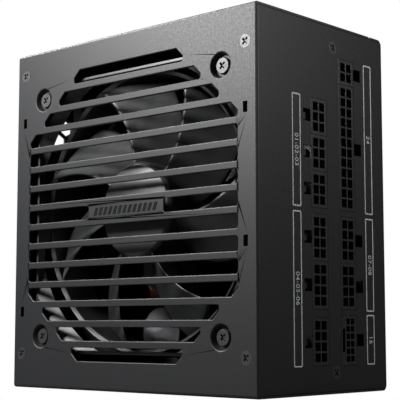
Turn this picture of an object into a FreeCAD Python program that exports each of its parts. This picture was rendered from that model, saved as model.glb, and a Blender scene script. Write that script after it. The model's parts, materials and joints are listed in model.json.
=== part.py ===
import FreeCAD, Part
import Sketcher
import math
import os
from types import SimpleNamespace

# A desktop computer power supply: a sheet metal case with a 120 mm fan behind a slotted
# plate, a panel of modular output sockets, and the mains inlet and switch on the far panel.
#
# Frame: millimetres, +Z up, standing on its narrow side. The fan faces -Y, the modular
# sockets face +X and the mains panel faces -X. The origin is under the middle of the case.

document = FreeCAD.newDocument("power_supply")
sheet = document.addObject("Spreadsheet::Sheet", "sizes")

# ---------------------------------------------------------------- driving dimensions

SIZES = [
    # name, millimetres (or degrees, or a count), what it is
    ("case_length", 140.0, "case, mains panel to socket panel, along X"),
    ("case_depth", 86.0, "case, fan plate to back plate, along Y"),
    ("case_height", 150.0, "case, along Z"),
    ("metal", 1.0, "sheet metal thickness"),
    ("seam", 0.2, "gap where cover and tray meet"),
    ("bend", 1.5, "outer radius of the folds"),
    ("tray_corner", 2.5, "outer radius of the back plate's folds"),
    ("cover_reach", 76.5, "cover's side flanges, from the fan face"),
    ("tray_reach", 8.5, "tray's side flanges, from the back face"),
    ("tray_lip", 5.0, "stepped lip of those flanges, under the cover"),
    ("front_flange", 8.5, "tray's flanges behind the fan plate"),

    ("slot_pitch", 8.575, "between the fan plate's slot rows"),
    ("slot_height", 5.7, "one slot"),
    ("slot_half", 61.1, "half the length of a full slot row"),
    ("slot_step", 9.6, "shortening of each row above the full ones"),
    ("slot_cut", 3.4, "cut corner of the slots near the corners"),
    ("slot_round", 1.1, "corner radius of the slots"),
    ("badge_half", 22.2, "half the unbroken plate in the middle row"),
    ("tab_width", 2.2, "small tab slots of the fan plate"),
    ("tab_height", 4.3, "small tab slots of the fan plate"),
    ("tab_inset", 5.0, "tab slots, from the plate's edge"),
    ("tab_far_high", 43.2, "upper tab slot at the mains side, above the middle"),
    ("tab_far_low", 41.7, "lower tab slot at the mains side, below the middle"),
    ("tab_near_high", 34.6, "upper tab slot at the socket side, above the middle"),
    ("tab_near_low", 16.3, "lower tab slot at the socket side, below the middle"),

    ("cover_screw_inset", 5.0, "cover screws, from the plate's edge"),
    ("cover_screw_low", 15.0, "lower cover screws, from the bottom"),
    ("cover_screw_near", 15.0, "upper cover screw at the socket side, from the top"),
    ("cover_screw_far", 10.0, "upper cover screw at the mains side, from the top"),
    ("small_head", 2.75, "radius of the flat heads"),
    ("small_shank", 1.4, "radius of the small screws"),
    ("small_length", 5.5, "small screws, under the head"),
    ("cross_width", 0.8, "arm of a cross recess"),
    ("cross_reach", 3.2, "length of a cross recess"),

    ("fan_size", 120.0, "fan frame, square"),
    ("fan_depth", 25.0, "fan frame, along Y"),
    ("fan_hole_inset", 7.5, "fan screws, from the frame's edge"),
    ("fan_corner", 4.0, "fan frame corner radius"),
    ("fan_rim", 1.3, "fan frame wall at the middle of each side"),
    ("duct_wall", 2.0, "wall of the duct at the middle of each side"),
    ("mouth_flare", 10.0, "flared mouth beyond the duct's radius"),
    ("mouth_depth", 7.8, "depth of the flared mouth"),
    ("fan_plate", 4.0, "thickness of the fan frame's front and back plates"),
    ("dimple_depth", 2.5, "fan screw dimples in the fan plate"),
    ("dimple_radius", 5.15, "dimple at the surface"),
    ("dimple_floor", 4.2, "dimple at its floor"),
    ("fan_head", 3.5, "radius of the fan screw heads"),
    ("fan_head_height", 1.3, "fan screw heads"),
    ("fan_shank", 2.2, "radius of the fan screws"),
    ("fan_screw_length", 9.0, "fan screws, under the head"),

    ("blade_count", 7, "blades"),
    ("tip_gap", 1.2, "between the blade tips and the duct"),
    ("blade_thickness", 1.5, "blades"),
    ("blade_start", 2.7, "blades behind the frame's front"),
    ("blade_depth", 14.5, "blades, along Y"),
    ("blade_lead", 92.5, "angle of one blade's front edge at the hub, degrees"),
    ("blade_sweep", 20.0, "forward sweep of the front edge to the tip, degrees"),
    ("blade_root_arc", 40.0, "arc of a blade at the hub, degrees"),
    ("blade_tip_arc", 29.0, "arc of a blade at the tip, degrees"),
    ("hub_radius", 20.5, "hub cup"),
    ("hub_start", 2.3, "hub face behind the frame's front"),
    ("hub_depth", 17.2, "hub cup"),
    ("hub_wall", 1.5, "hub cup wall"),
    ("hub_bevel", 1.4, "bevel round the hub face"),
    ("base_step", 1.0, "hub's radius beyond the motor base"),
    ("base_floor", 2.0, "thickness of the motor base"),
    ("strut_width", 3.0, "fan frame struts"),
    ("strut_depth", 4.0, "fan frame struts"),
    ("yoke_wall", 1.0, "steel ring in the hub"),
    ("magnet_wall", 1.6, "magnet ring in the hub"),
    ("air_gap", 0.6, "between magnet and stator"),
    ("bearing_tube", 4.5, "radius of the bearing tube"),
    ("bearing_radius", 3.2, "fan bearing"),
    ("shaft_radius", 1.5, "fan shaft"),
    ("shaft_clearance", 0.05, "fan shaft in its bearing"),

    ("socket_width", 10.7, "modular sockets, along Y"),
    ("socket_length", 12.4, "modular sockets, along X"),
    ("socket_margin", 2.0, "socket height beyond its pins' pitches"),
    ("socket_gap", 0.1, "between stacked sockets"),
    ("socket_clearance", 0.15, "round the sockets in the panel"),
    ("pin_pitch", 4.2, "socket pins"),
    ("cavity", 3.4, "square socket cavities"),
    ("cavity_depth", 9.0, "socket cavities"),
    ("near_column", 40.1, "middle of the first socket column, from the fan face"),
    ("far_column", 59.3, "middle of the second socket column, from the fan face"),
    ("near_upper", 42.6, "top of the first column's upper group, above the middle"),
    ("far_upper", 61.6, "top of the second column's upper group, above the middle"),
    ("middle_groups", 3.8, "top of both columns' middle groups, below the middle"),
    ("near_lower", 44.8, "top of the first column's lowest socket, below the middle"),
    ("fine_lower", 53.8, "middle of the sixteen pin socket, below the middle"),
    ("notch_width", 4.8, "latch notches"),
    ("notch_height", 5.0, "latch notches"),
    ("latch_width", 3.0, "latch lugs on the sockets"),
    ("latch_reach", 2.6, "latch lugs on the sockets"),
    ("latch_inset", 2.2, "latch lugs, behind the panel face"),
    ("fine_pitch", 3.0, "pins of the sixteen pin socket"),
    ("fine_cavity", 2.3, "cavities of the sixteen pin socket"),
    ("fine_height", 19.8, "sixteen pin socket"),
    ("sense_width", 1.7, "slot for the sense contacts"),
    ("sense_height", 9.4, "slot for the sense contacts"),
    ("pin_side", 1.0, "square socket pins"),
    ("fine_pin_side", 0.7, "square fine pins"),
    ("pin_length", 5.5, "pins standing in the cavities"),
    ("board", 1.6, "circuit boards"),
    ("socket_screw_y", 50.2, "socket board screws, from the fan face"),
    ("socket_screw_low", 8.4, "lower socket board screw, from the bottom"),
    ("socket_screw_high", 9.5, "upper socket board screw, from the top"),

    ("inlet_y", 57.0, "middle of the mains inlet, from the fan face"),
    ("inlet_z", 116.0, "middle of the mains inlet, from the bottom"),
    ("inlet_long", 27.0, "inlet shell, along Z"),
    ("inlet_short", 20.0, "inlet shell, along Y"),
    ("inlet_deep", 19.0, "inlet shell, along X"),
    ("inlet_mouth_long", 24.0, "inlet recess, along Z"),
    ("inlet_mouth_short", 16.4, "inlet recess, along Y"),
    ("inlet_mouth_deep", 16.0, "inlet recess, along X"),
    ("inlet_cut", 4.5, "cut corners of the recess"),
    ("inlet_flange_long", 50.0, "inlet flange, along Z"),
    ("inlet_flange_short", 22.5, "inlet flange, along Y"),
    ("inlet_flange", 2.5, "inlet flange, thickness"),
    ("inlet_screws", 40.0, "inlet screw spacing"),
    ("panel_clearance", 0.2, "round the inlet and the switch in the panel"),
    ("earth_offset", 18.0, "earth screw beside the middle of the inlet"),
    ("contact_spacing", 14.0, "live to neutral contact"),
    ("contact_offset", 4.0, "earth contact beside the other two"),
    ("contact_long", 4.0, "contact blades"),
    ("contact_thick", 2.0, "contact blades"),
    ("contact_reach", 11.0, "contact blades inside the recess"),
    ("tab_reach", 8.0, "solder tabs behind the inlet and the switch"),
    ("spade_width", 4.8, "solder tabs"),
    ("spade_thick", 0.8, "solder tabs"),

    ("switch_y", 57.0, "middle of the switch, from the fan face"),
    ("switch_z", 76.0, "middle of the switch, from the bottom"),
    ("switch_long", 21.2, "switch shell, along Z"),
    ("switch_short", 13.4, "switch shell, along Y"),
    ("switch_deep", 15.0, "switch shell, along X"),
    ("switch_wall", 1.0, "switch shell wall"),
    ("switch_flange", 1.8, "switch flange, thickness and overhang"),
    ("rocker_half", 8.2, "half the rocker, along Z"),
    ("rocker_width", 10.4, "rocker, along Y"),
    ("rocker_rise", 6.0, "rocker's ends above its pivot"),
    ("rocker_dip", 4.6, "rocker's middle above its pivot"),
    ("rocker_pivot", 7.4, "rocker pivot, behind the panel face"),
    ("rocker_pin", 1.2, "radius of the rocker's pivot stubs"),
    ("rocker_tilt", 10.0, "rocker tilt to either side, degrees"),

    ("vent_cell", 6.4, "hexagon of the mains panel grille, across flats"),
    ("vent_bar", 1.5, "metal between the hexagons"),
    ("vent_top", 144.0, "top of the grille"),
    ("vent_bottom", 110.0, "bottom of the grille"),
    ("vent_front", 13.0, "grille, from the fan face"),
    ("vent_back", 36.0, "grille, from the fan face"),

    ("mount_edge", 6.0, "case mounting holes, from the panel's edge"),
    ("mount_offset", 16.0, "lower front mounting hole, from the fan face"),
    ("mount_shift", 30.0, "upper front mounting hole, from the top"),
    ("mount_radius", 1.4, "case mounting holes"),

    ("board_gap", 6.4, "main board above the back plate"),
    ("board_inset_mains", 8.0, "main board, from the mains face"),
    ("board_inset_sockets", 18.0, "main board, from the socket face"),
    ("board_inset_ends", 6.0, "main board, from top and bottom"),
    ("post_radius", 3.0, "board standoffs"),
    ("post_inset", 5.0, "board standoffs, from the board's edges"),
    ("insulator", 0.4, "insulating sheet"),

    ("choke_inset", 15.0, "filter chokes, from the board's mains edge"),
    ("choke_low", 22.0, "lower filter choke, from the bottom"),
    ("choke_step", 28.0, "between the filter chokes"),
    ("choke_ring", 8.0, "filter chokes, middle radius of the ring"),
    ("choke_core", 3.0, "filter chokes, half the width of the core"),
    ("choke_tall", 12.0, "filter chokes, above the board"),
    ("film_inset", 31.5, "film capacitors, from the board's mains edge"),
    ("film_low", 20.0, "lower film capacitor, from the bottom"),
    ("film_step", 30.0, "between the film capacitors"),
    ("film_width", 8.0, "film capacitors, along X"),
    ("film_long", 22.0, "film capacitors, along Z"),
    ("film_tall", 17.0, "film capacitors, above the board"),
    ("disc_low", 31.5, "lower disc capacitor, from the bottom"),
    ("disc_step", 4.0, "between the disc capacitors"),
    ("disc_radius", 4.0, "disc capacitors"),
    ("disc_thick", 3.0, "disc capacitors"),
    ("leg_radius", 0.4, "wire legs of the discs"),
    ("leg_lift", 1.0, "discs above the board"),
    ("fuse_inset", 6.0, "mains fuse, from the board's mains edge"),
    ("fuse_low", 66.0, "mains fuse, from the bottom"),
    ("fuse_long", 22.0, "mains fuse"),
    ("fuse_radius", 3.0, "mains fuse"),
    ("guard_inset", 18.0, "varistor and thermistor, from the board's mains edge"),
    ("guard_radius", 6.0, "varistor and thermistor"),
    ("varistor_low", 84.0, "varistor, from the bottom"),
    ("varistor_thick", 4.0, "varistor"),
    ("thermistor_low", 93.0, "thermistor, from the bottom"),
    ("thermistor_thick", 5.0, "thermistor"),

    ("sink_half", 1.5, "half the thickness of a heatsink's plate"),
    ("fin_reach", 8.0, "heatsink fins, from the middle of the plate"),
    ("fin_thick", 2.0, "heatsink fins"),
    ("primary_x", 4.0, "primary heatsink, beside the middle of the case"),
    ("primary_low", 14.0, "primary heatsink's lower end, from the bottom"),
    ("primary_long", 90.0, "primary heatsink, along Z"),
    ("primary_tall", 38.0, "primary heatsink, above the board"),
    ("chip_thick", 5.0, "transistors on the primary heatsink"),
    ("chip_low", 16.0, "lowest transistor, from the bottom"),
    ("chip_step", 20.0, "between the transistors"),
    ("chip_long", 16.0, "transistors, along Z"),
    ("chip_foot", 6.0, "transistors, above the board"),
    ("chip_tall", 20.0, "transistors, along Y"),
    ("bridge_thick", 4.5, "bridge rectifier"),
    ("bridge_low", 78.0, "bridge rectifier, from the bottom"),
    ("bridge_long", 24.0, "bridge rectifier, along Z"),
    ("bridge_foot", 4.0, "bridge rectifier, above the board"),
    ("bulk_x", 14.5, "bulk capacitors, beside the middle of the case"),
    ("bulk_low", 24.0, "lower bulk capacitor, from the bottom"),
    ("bulk_step", 29.0, "between the bulk capacitors"),
    ("bulk_radius", 11.0, "bulk capacitors"),
    ("bulk_tall", 40.0, "bulk capacitors, above the board"),
    ("boost_x", 15.5, "boost choke, beside the middle of the case"),
    ("boost_z", 121.0, "boost choke, from the bottom"),
    ("boost_ring", 12.0, "boost choke, middle radius of the ring"),
    ("boost_core", 4.5, "boost choke, half the width of the core"),
    ("boost_tall", 17.0, "boost choke, above the board"),

    ("main_x", 29.0, "main transformer, beside the middle of the case"),
    ("main_z", 88.0, "main transformer, from the bottom"),
    ("main_width", 30.0, "main transformer, along X, and its height above the board"),
    ("main_long", 34.0, "main transformer, along Z"),
    ("standby_x", 22.0, "standby transformer, beside the middle of the case"),
    ("standby_z", 123.0, "standby transformer, from the bottom"),
    ("standby_width", 18.0, "standby transformer, along X, and its height above the board"),
    ("standby_long", 20.0, "standby transformer, along Z"),
    ("secondary_x", 20.0, "secondary heatsink, beside the middle of the case"),
    ("secondary_low", 14.0, "secondary heatsink's lower end, from the bottom"),
    ("secondary_long", 52.0, "secondary heatsink, along Z"),
    ("secondary_tall", 30.0, "secondary heatsink, above the board"),
    ("output_x", 38.0, "output capacitors, beside the middle of the case"),
    ("output_low", 18.0, "lowest output capacitor, from the bottom"),
    ("output_step", 12.0, "between the output capacitors"),
    ("output_radius", 5.0, "output capacitors"),
    ("output_tall", 20.0, "output capacitors, above the board"),
    ("converter_x", 42.0, "converter boards, beside the middle of the case"),
    ("converter_low", 113.0, "lower converter board, from the bottom"),
    ("converter_step", 20.0, "between the converter boards"),
    ("converter_long", 14.0, "converter boards, along Z"),
    ("converter_tall", 28.0, "converter boards, above the main board"),
    ("coil_thick", 6.0, "converter chokes, along X"),
    ("coil_long", 10.0, "converter chokes, along Z"),
    ("coil_tall", 12.0, "converter chokes, along Y"),
    ("coil_foot", 10.0, "converter chokes, above the main board"),
    ("control_long", 16.0, "controller board, along X"),
    ("control_start", 2.0, "controller board's end, beyond the middle of the case"),
    ("control_z", 136.0, "controller board, from the bottom"),
    ("control_tall", 20.0, "controller board, above the main board"),
    ("busbar_low", 24.0, "lowest busbar, from the bottom"),
    ("busbar_step", 20.0, "between the busbars"),
    ("busbar_width", 12.0, "busbars, along Z"),
    ("busbar_thick", 1.5, "busbars"),
    ("busbar_foot", 8.0, "busbars, above the board"),
    ("busbar_inset", 6.0, "busbars, from the board's socket edge"),

    ("label_thickness", 0.15, "rating label"),
    ("label_width", 92.0, "rating label, along X"),
    ("label_height", 60.0, "rating label, along Z"),
    ("lead_radius", 1.2, "insulated leads"),
    ("fan_lead_radius", 0.9, "fan lead"),
    ("header_inset", 10.0, "fan header, from the board's mains edge"),
    ("header_drop", 18.0, "fan header, from the top of the case"),
    ("header_width", 7.4, "fan header, along X"),
    ("header_long", 5.0, "fan header, along Z"),
    ("header_tall", 6.0, "fan header, above the board"),
    ("plug_width", 6.0, "fan plug, along X"),
    ("plug_long", 4.0, "fan plug, along Z"),
    ("plug_tall", 7.0, "fan plug, above the header"),
    ("ring_radius", 3.6, "ring of the earth terminal"),
    ("barrel_radius", 1.8, "barrel of the earth terminal"),
    ("barrel_start", 3.2, "barrel of the earth terminal, from the screw"),
    ("barrel_end", 9.0, "barrel of the earth terminal, from the screw"),
    ("fan_lead_exit", 110.0, "angle of the fan lead's strut, degrees"),
]


class Size:
    """A length that knows both its number and the expression which gives it."""

    def __init__(self, value, text):
        self.value = float(value)
        self.text = text

    def __add__(self, other):
        other = as_size(other)
        return Size(self.value + other.value, f"({self.text} + {other.text})")

    def __sub__(self, other):
        other = as_size(other)
        return Size(self.value - other.value, f"({self.text} - {other.text})")

    def __mul__(self, other):
        other = as_size(other)
        return Size(self.value * other.value, f"({self.text} * {other.text})")

    def __truediv__(self, other):
        other = as_size(other)
        return Size(self.value / other.value, f"({self.text} / {other.text})")

    def __radd__(self, other):
        return as_size(other) + self

    def __rsub__(self, other):
        return as_size(other) - self

    def __rmul__(self, other):
        return as_size(other) * self

    def __neg__(self):
        return Size(-self.value, f"(0 - {self.text})")


def as_size(thing):
    """A plain number as a Size, and a Size as it is."""
    if isinstance(thing, Size):
        return thing
    return Size(thing, f"({float(thing):.6f})")


def fill_sheet():
    """Write the driving dimensions into the sheet, and return them by name."""
    named = {}
    for row, (name, number, note) in enumerate(SIZES, start=1):
        sheet.set(f"A{row}", name)
        sheet.set(f"B{row}", str(number))
        sheet.set(f"C{row}", note)
        sheet.setAlias(f"B{row}", name)
        named[name] = Size(number, f"sizes.{name}")
    document.recompute()
    return SimpleNamespace(**named)


s = fill_sheet()

# ---------------------------------------------------------------- planes of the case

left = -s.case_length / 2
right = s.case_length / 2
front = -s.case_depth / 2
back = s.case_depth / 2
bottom = as_size(0)
top = s.case_height
middle_z = s.case_height / 2

plate_inside = front + s.metal
back_inside = back - s.metal
mains_inside = left + s.metal
sockets_inside = right - s.metal
tray_bottom = bottom + s.metal + s.seam
tray_top = top - s.metal - s.seam

fan_front = plate_inside + s.dimple_depth
fan_back = fan_front + s.fan_depth
fan_half = s.fan_size / 2
fan_bore = fan_half - s.duct_wall
fan_mouth = fan_bore + s.mouth_flare
fan_hole_reach = fan_half - s.fan_hole_inset
blade_tip = fan_bore - s.tip_gap
motor_base = s.hub_radius - s.base_step

board_back = back_inside - s.board_gap
board_face = board_back - s.board
board_left = left + s.board_inset_mains
board_right = right - s.board_inset_sockets
board_bottom = bottom + s.board_inset_ends
board_top = top - s.board_inset_ends

socket_back = right - s.socket_length
socket_board_back = socket_back - s.board

# ---------------------------------------------------------------- building blocks

AXES = {
    "x": FreeCAD.Rotation(FreeCAD.Vector(0, 1, 0), 90),
    "y": FreeCAD.Rotation(FreeCAD.Vector(1, 0, 0), -90),
    "z": FreeCAD.Rotation(),
}
PLANES = {"XY": ("XY_Plane", 1), "XZ": ("XZ_Plane", -1), "YZ": ("YZ_Plane", 1)}


def bind(thing, **sizes):
    """Bind properties of a thing to Sizes."""
    for name, size in sizes.items():
        thing.setExpression(name, as_size(size).text)
    return thing


def place(thing, point, rotation=None):
    """Put a thing's own origin at a point, each coordinate bound."""
    values = [as_size(size) for size in point]
    base = FreeCAD.Vector(*[size.value for size in values])
    thing.Placement = FreeCAD.Placement(base, rotation or FreeCAD.Rotation())
    for letter, size in zip("xyz", values):
        thing.setExpression(f"Placement.Base.{letter}", size.text)
    return thing


def box(name, x, y, z):
    """A block given by its low and high side along each axis."""
    block = document.addObject("Part::Box", name)
    bind(block, Length=x[1] - x[0], Width=y[1] - y[0], Height=z[1] - z[0])
    return place(block, (x[0], y[0], z[0]))


def along(axis, centre, start):
    """The point at a start along an axis, above the two other coordinates."""
    if axis == "x":
        return (start, centre[0], centre[1])
    if axis == "y":
        return (centre[0], start, centre[1])
    return (centre[0], centre[1], start)


def rod(name, axis, centre, radius, span):
    """A cylinder along an axis from one place to another."""
    cylinder = document.addObject("Part::Cylinder", name)
    bind(cylinder, Radius=radius, Height=span[1] - span[0])
    return place(cylinder, along(axis, centre, span[0]), AXES[axis])


def cone(name, axis, centre, radii, span):
    """A cone frustum along an axis, with the radius at its start and at its end."""
    frustum = document.addObject("Part::Cone", name)
    bind(frustum, Radius1=radii[0], Radius2=radii[1], Height=span[1] - span[0])
    return place(frustum, along(axis, centre, span[0]), AXES[axis])


def bar(name, axis, centre, angle, length, width, span):
    """A block along an axis whose section is turned by an angle about that axis."""
    block = document.addObject("Part::Box", name)
    length, width = as_size(length), as_size(width)
    bind(block, Length=length, Width=width, Height=span[1] - span[0])
    turn = AXES[axis].multiply(FreeCAD.Rotation(FreeCAD.Vector(0, 0, 1), angle))
    along_length = turn.multVec(FreeCAD.Vector(1, 0, 0))
    along_width = turn.multVec(FreeCAD.Vector(0, 1, 0))
    start = along(axis, centre, span[0])
    corner = []
    for place_on_axis, u, v in zip(start, along_length, along_width):
        corner.append(place_on_axis - length / 2 * round(u, 9) - width / 2 * round(v, 9))
    return place(block, corner, turn)


def join(name, *pieces):
    """Several touching or overlapping shapes made one solid."""
    fusion = document.addObject("Part::MultiFuse", name)
    fusion.Shapes = list(pieces)
    return fusion


def group(name, *pieces):
    """Separate solids kept together under one name."""
    compound = document.addObject("Part::Compound", name)
    compound.Links = list(pieces)
    return compound


def cut(name, base, *tools):
    """A shape with other shapes taken out of it."""
    difference = document.addObject("Part::Cut", name)
    difference.Base = base
    difference.Tool = tools[0] if len(tools) == 1 else join(f"{name}_tools", *tools)
    return difference


def common(name, *pieces):
    """What several shapes share."""
    shared = document.addObject("Part::MultiCommon", name)
    shared.Shapes = list(pieces)
    return shared


def tube(name, axis, centre, outer, inner, span):
    """A round tube along an axis."""
    outside = rod(f"{name}_outside", axis, centre, outer, span)
    return cut(name, outside, rod(f"{name}_inside", axis, centre, inner, span))


def tied(geometry, position, point):
    """Constraints that tie one point of a sketch to its two bound coordinates."""
    found = []
    for kind, size in zip(("DistanceX", "DistanceY"), point):
        size = as_size(size)
        found.append((Sketcher.Constraint(kind, -1, 1, geometry, position, size.value), size))
    return found


def constrain(drawing, found):
    """Add constraints in one go and bind those that carry a Size."""
    first = drawing.ConstraintCount
    drawing.addConstraint([constraint for constraint, size in found])
    for index, (constraint, size) in enumerate(found, start=first):
        if size is not None:
            drawing.setExpression(f"Constraints[{index}]", size.text)


def circle(centre, radius):
    """A loop for a sketch: one circle."""
    radius = as_size(radius)

    def draw(drawing):
        spot = FreeCAD.Vector(as_size(centre[0]).value, as_size(centre[1]).value, 0)
        ring = Part.Circle(spot, FreeCAD.Vector(0, 0, 1), radius.value)
        geometry = drawing.addGeometry(ring, False)
        size = Sketcher.Constraint("Radius", geometry, radius.value)
        constrain(drawing, tied(geometry, 3, centre) + [(size, radius)])

    return draw


def corner_arc(before, corner, after, radius):
    """The arc that rounds a corner: its centre, where it meets each side, and its turn."""
    to_before = (before - corner).normalize()
    to_after = (after - corner).normalize()
    half = to_before.getAngle(to_after) / 2
    reach = radius / math.tan(half)
    inward = (to_before + to_after).normalize()
    centre = corner + inward * (radius / math.sin(half))
    anticlockwise = (corner - before).cross(after - corner).z > 0
    return centre, corner + to_before * reach, corner + to_after * reach, anticlockwise


def outline(*corners):
    """A loop for a sketch: a closed outline through corners (x, y) or (x, y, radius)."""

    def draw(drawing):
        count = len(corners)
        points = [FreeCAD.Vector(as_size(c[0]).value, as_size(c[1]).value, 0) for c in corners]
        arrive, leave, arcs, found = list(points), list(points), {}, []
        for i, corner in enumerate(corners):
            if len(corner) < 3:
                continue
            radius = as_size(corner[2])
            centre, arrive[i], leave[i], anticlockwise = corner_arc(
                points[i - 1], points[i], points[(i + 1) % count], radius.value)
            ends = (arrive[i], leave[i]) if anticlockwise else (leave[i], arrive[i])
            angles = [math.atan2(end.y - centre.y, end.x - centre.x) for end in ends]
            ring = Part.Circle(centre, FreeCAD.Vector(0, 0, 1), radius.value)
            geometry = drawing.addGeometry(Part.ArcOfCircle(ring, *angles), False)
            found.append((Sketcher.Constraint("Radius", geometry, radius.value), radius))
            arcs[i] = (geometry, anticlockwise)
        sides = []
        for i in range(count):
            side = Part.LineSegment(leave[i], arrive[(i + 1) % count])
            sides.append(drawing.addGeometry(side, False))
        for i, corner in enumerate(corners):
            incoming, outgoing = sides[i - 1], sides[i]
            if i not in arcs:
                meeting = Sketcher.Constraint("Coincident", incoming, 2, outgoing, 1)
                found += [(meeting, None)] + tied(outgoing, 1, corner[:2])
                continue
            geometry, anticlockwise = arcs[i]
            first, last = (1, 2) if anticlockwise else (2, 1)
            vertex = drawing.addGeometry(Part.Point(points[i]), True)
            for rule in (
                    Sketcher.Constraint("Tangent", incoming, 2, geometry, first),
                    Sketcher.Constraint("Tangent", geometry, last, outgoing, 1),
                    Sketcher.Constraint("PointOnObject", vertex, 1, incoming),
                    Sketcher.Constraint("PointOnObject", vertex, 1, outgoing)):
                found.append((rule, None))
            found += tied(vertex, 1, corner[:2])
        constrain(drawing, found)

    return draw


def rectangle(x, y, radius=None):
    """A loop for a sketch: a rectangle, with round corners where a radius is given."""
    corners = [(x[0], y[0]), (x[1], y[0]), (x[1], y[1]), (x[0], y[1])]
    if radius is not None:
        corners = [corner + (radius,) for corner in corners]
    return outline(*corners)


def body(name):
    """A new body for padded and pocketed pieces."""
    return document.addObject("PartDesign::Body", name)


def sketch(solid, name, plane, start, loops):
    """A sketch of loops on a plane of the body's own origin, at a bound distance."""
    role, sign = PLANES[plane]
    drawing = solid.newObject("Sketcher::SketchObject", f"{name}_sketch")
    support = [item for item in solid.Origin.OriginFeatures if item.Role == role]
    drawing.AttachmentSupport = [(support[0], "")]
    drawing.MapMode = "FlatFace"
    drawing.setExpression("AttachmentOffset.Base.z", (sign * as_size(start)).text)
    for loop in loops:
        loop(drawing)
    return drawing


def pad(solid, name, plane, span, *loops):
    """Add a prism between two places on the plane's axis."""
    feature = solid.newObject("PartDesign::Pad", name)
    feature.Profile = sketch(solid, name, plane, span[0], loops)
    feature.Reversed = plane == "XZ"
    bind(feature, Length=as_size(span[1]) - span[0])
    solid.Tip = feature
    return feature


def pocket(solid, name, plane, span, *loops):
    """Take away a prism between two places on the plane's axis."""
    feature = solid.newObject("PartDesign::Pocket", name)
    feature.Profile = sketch(solid, name, plane, span[0], loops)
    feature.Reversed = plane != "XZ"
    feature.Refine = False
    bind(feature, Length=as_size(span[1]) - span[0])
    solid.Tip = feature
    return feature


def repeat(solid, name, feature, role, length, count):
    """Repeat a feature along one of the body's axes."""
    pattern = solid.newObject("PartDesign::LinearPattern", name)
    pattern.Originals = [feature]
    axis = [item for item in solid.Origin.OriginFeatures if item.Role == role][0]
    pattern.Direction = (axis, [""])
    pattern.Occurrences = count
    bind(pattern, Length=length)
    solid.Tip = pattern
    return pattern


def cross_recess(name, axis, centre, span):
    """A cross recess turned to 45 degrees, as two crossed bars."""
    arms = []
    for number, angle in enumerate((45, 135)):
        arms.append(bar(f"{name}_arm{number}", axis, centre, angle,
                        s.cross_reach, s.cross_width, span))
    return arms


made = {}


def keep(node, thing):
    """Give a finished sub-part its name."""
    thing.Label = node
    made[node] = thing
    return thing


# ---------------------------------------------------------------- places that pieces share

fan_screw_places = []
for side in (-1, 1):
    for level in (-1, 1):
        fan_screw_places.append((fan_hole_reach * side, middle_z + fan_hole_reach * level))

cover_screw_places = [
    (left + s.cover_screw_inset, top - s.cover_screw_far),
    (right - s.cover_screw_inset, top - s.cover_screw_near),
    (left + s.cover_screw_inset, s.cover_screw_low),
    (right - s.cover_screw_inset, s.cover_screw_low),
]

tab_places = []
for side, height in ((-1, s.tab_far_high), (1, s.tab_near_high),
                     (1, -s.tab_near_low), (-1, -s.tab_far_low)):
    tab_places.append(((right - s.tab_inset) * side, middle_z + height))

inlet_y = front + s.inlet_y
switch_y = front + s.switch_y
inlet_screw_places = [
    (inlet_y, s.inlet_z - s.inlet_screws / 2),
    (inlet_y, s.inlet_z + s.inlet_screws / 2),
]
earth_place = (inlet_y - s.earth_offset, top - s.mount_edge)

near_y = front + s.near_column
far_y = front + s.far_column
socket_screw_places = [
    (front + s.socket_screw_y, top - s.socket_screw_high),
    (front + s.socket_screw_y, bottom + s.socket_screw_low),
]


def socket_height(rows):
    """Height of a socket with this many rows of two pins."""
    return s.pin_pitch * rows + s.socket_margin


def stack(middle_y, side, upper, rows_of_each):
    """Sockets below each other: each one's column, latch side, middle height and rows."""
    found = []
    level = middle_z + upper
    for rows in rows_of_each:
        found.append((middle_y, side, level - socket_height(rows) / 2, rows))
        level = level - socket_height(rows) - s.socket_gap
    return found


# the upper edge of each group, from the middle of the panel, and the rows of its sockets
STACKS = [
    stack(near_y, -1, s.near_upper, (3, 3, 3)),
    stack(near_y, -1, -s.middle_groups, (4, 4)),
    stack(near_y, -1, -s.near_lower, (4,)),
    stack(far_y, 1, s.far_upper, (2, 12)),
    stack(far_y, 1, -s.middle_groups, (4, 4)),
]
fine_socket = (far_y, middle_z - s.fine_lower)

# ---------------------------------------------------------------- the case


def tab_slots():
    """The small slots beside the fan, as loops."""
    loops = []
    for x, z in tab_places:
        loops.append(rectangle((x - s.tab_width / 2, x + s.tab_width / 2),
                               (z - s.tab_height / 2, z + s.tab_height / 2)))
    return loops


def slot_rows():
    """Each slot row of the fan plate: its height, half its length, and its cut side."""
    rows = []
    for number in range(-7, 8):
        beyond = max(0, abs(number) - 4)
        cut_side = 0 if abs(number) < 4 else (1 if number > 0 else -1)
        rows.append((middle_z + s.slot_pitch * number, s.slot_half - s.slot_step * beyond, cut_side))
    return rows


def slot_outline(height, half, cut_side):
    """One slot: round corners, and cut corners on the side that faces the plate's edge."""
    low, high = height - s.slot_height / 2, height + s.slot_height / 2
    if cut_side == 0:
        return rectangle((-half, half), (low, high), s.slot_round)
    near, far = (low, high) if cut_side > 0 else (high, low)
    shoulder = far - s.slot_cut * cut_side
    corners = [
        (-half, near, s.slot_round), (half, near, s.slot_round), (half, shoulder),
        (half - s.slot_cut, far), (s.slot_cut - half, far), (-half, shoulder),
    ]
    if cut_side < 0:
        corners.reverse()
    return outline(*corners)


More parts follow.
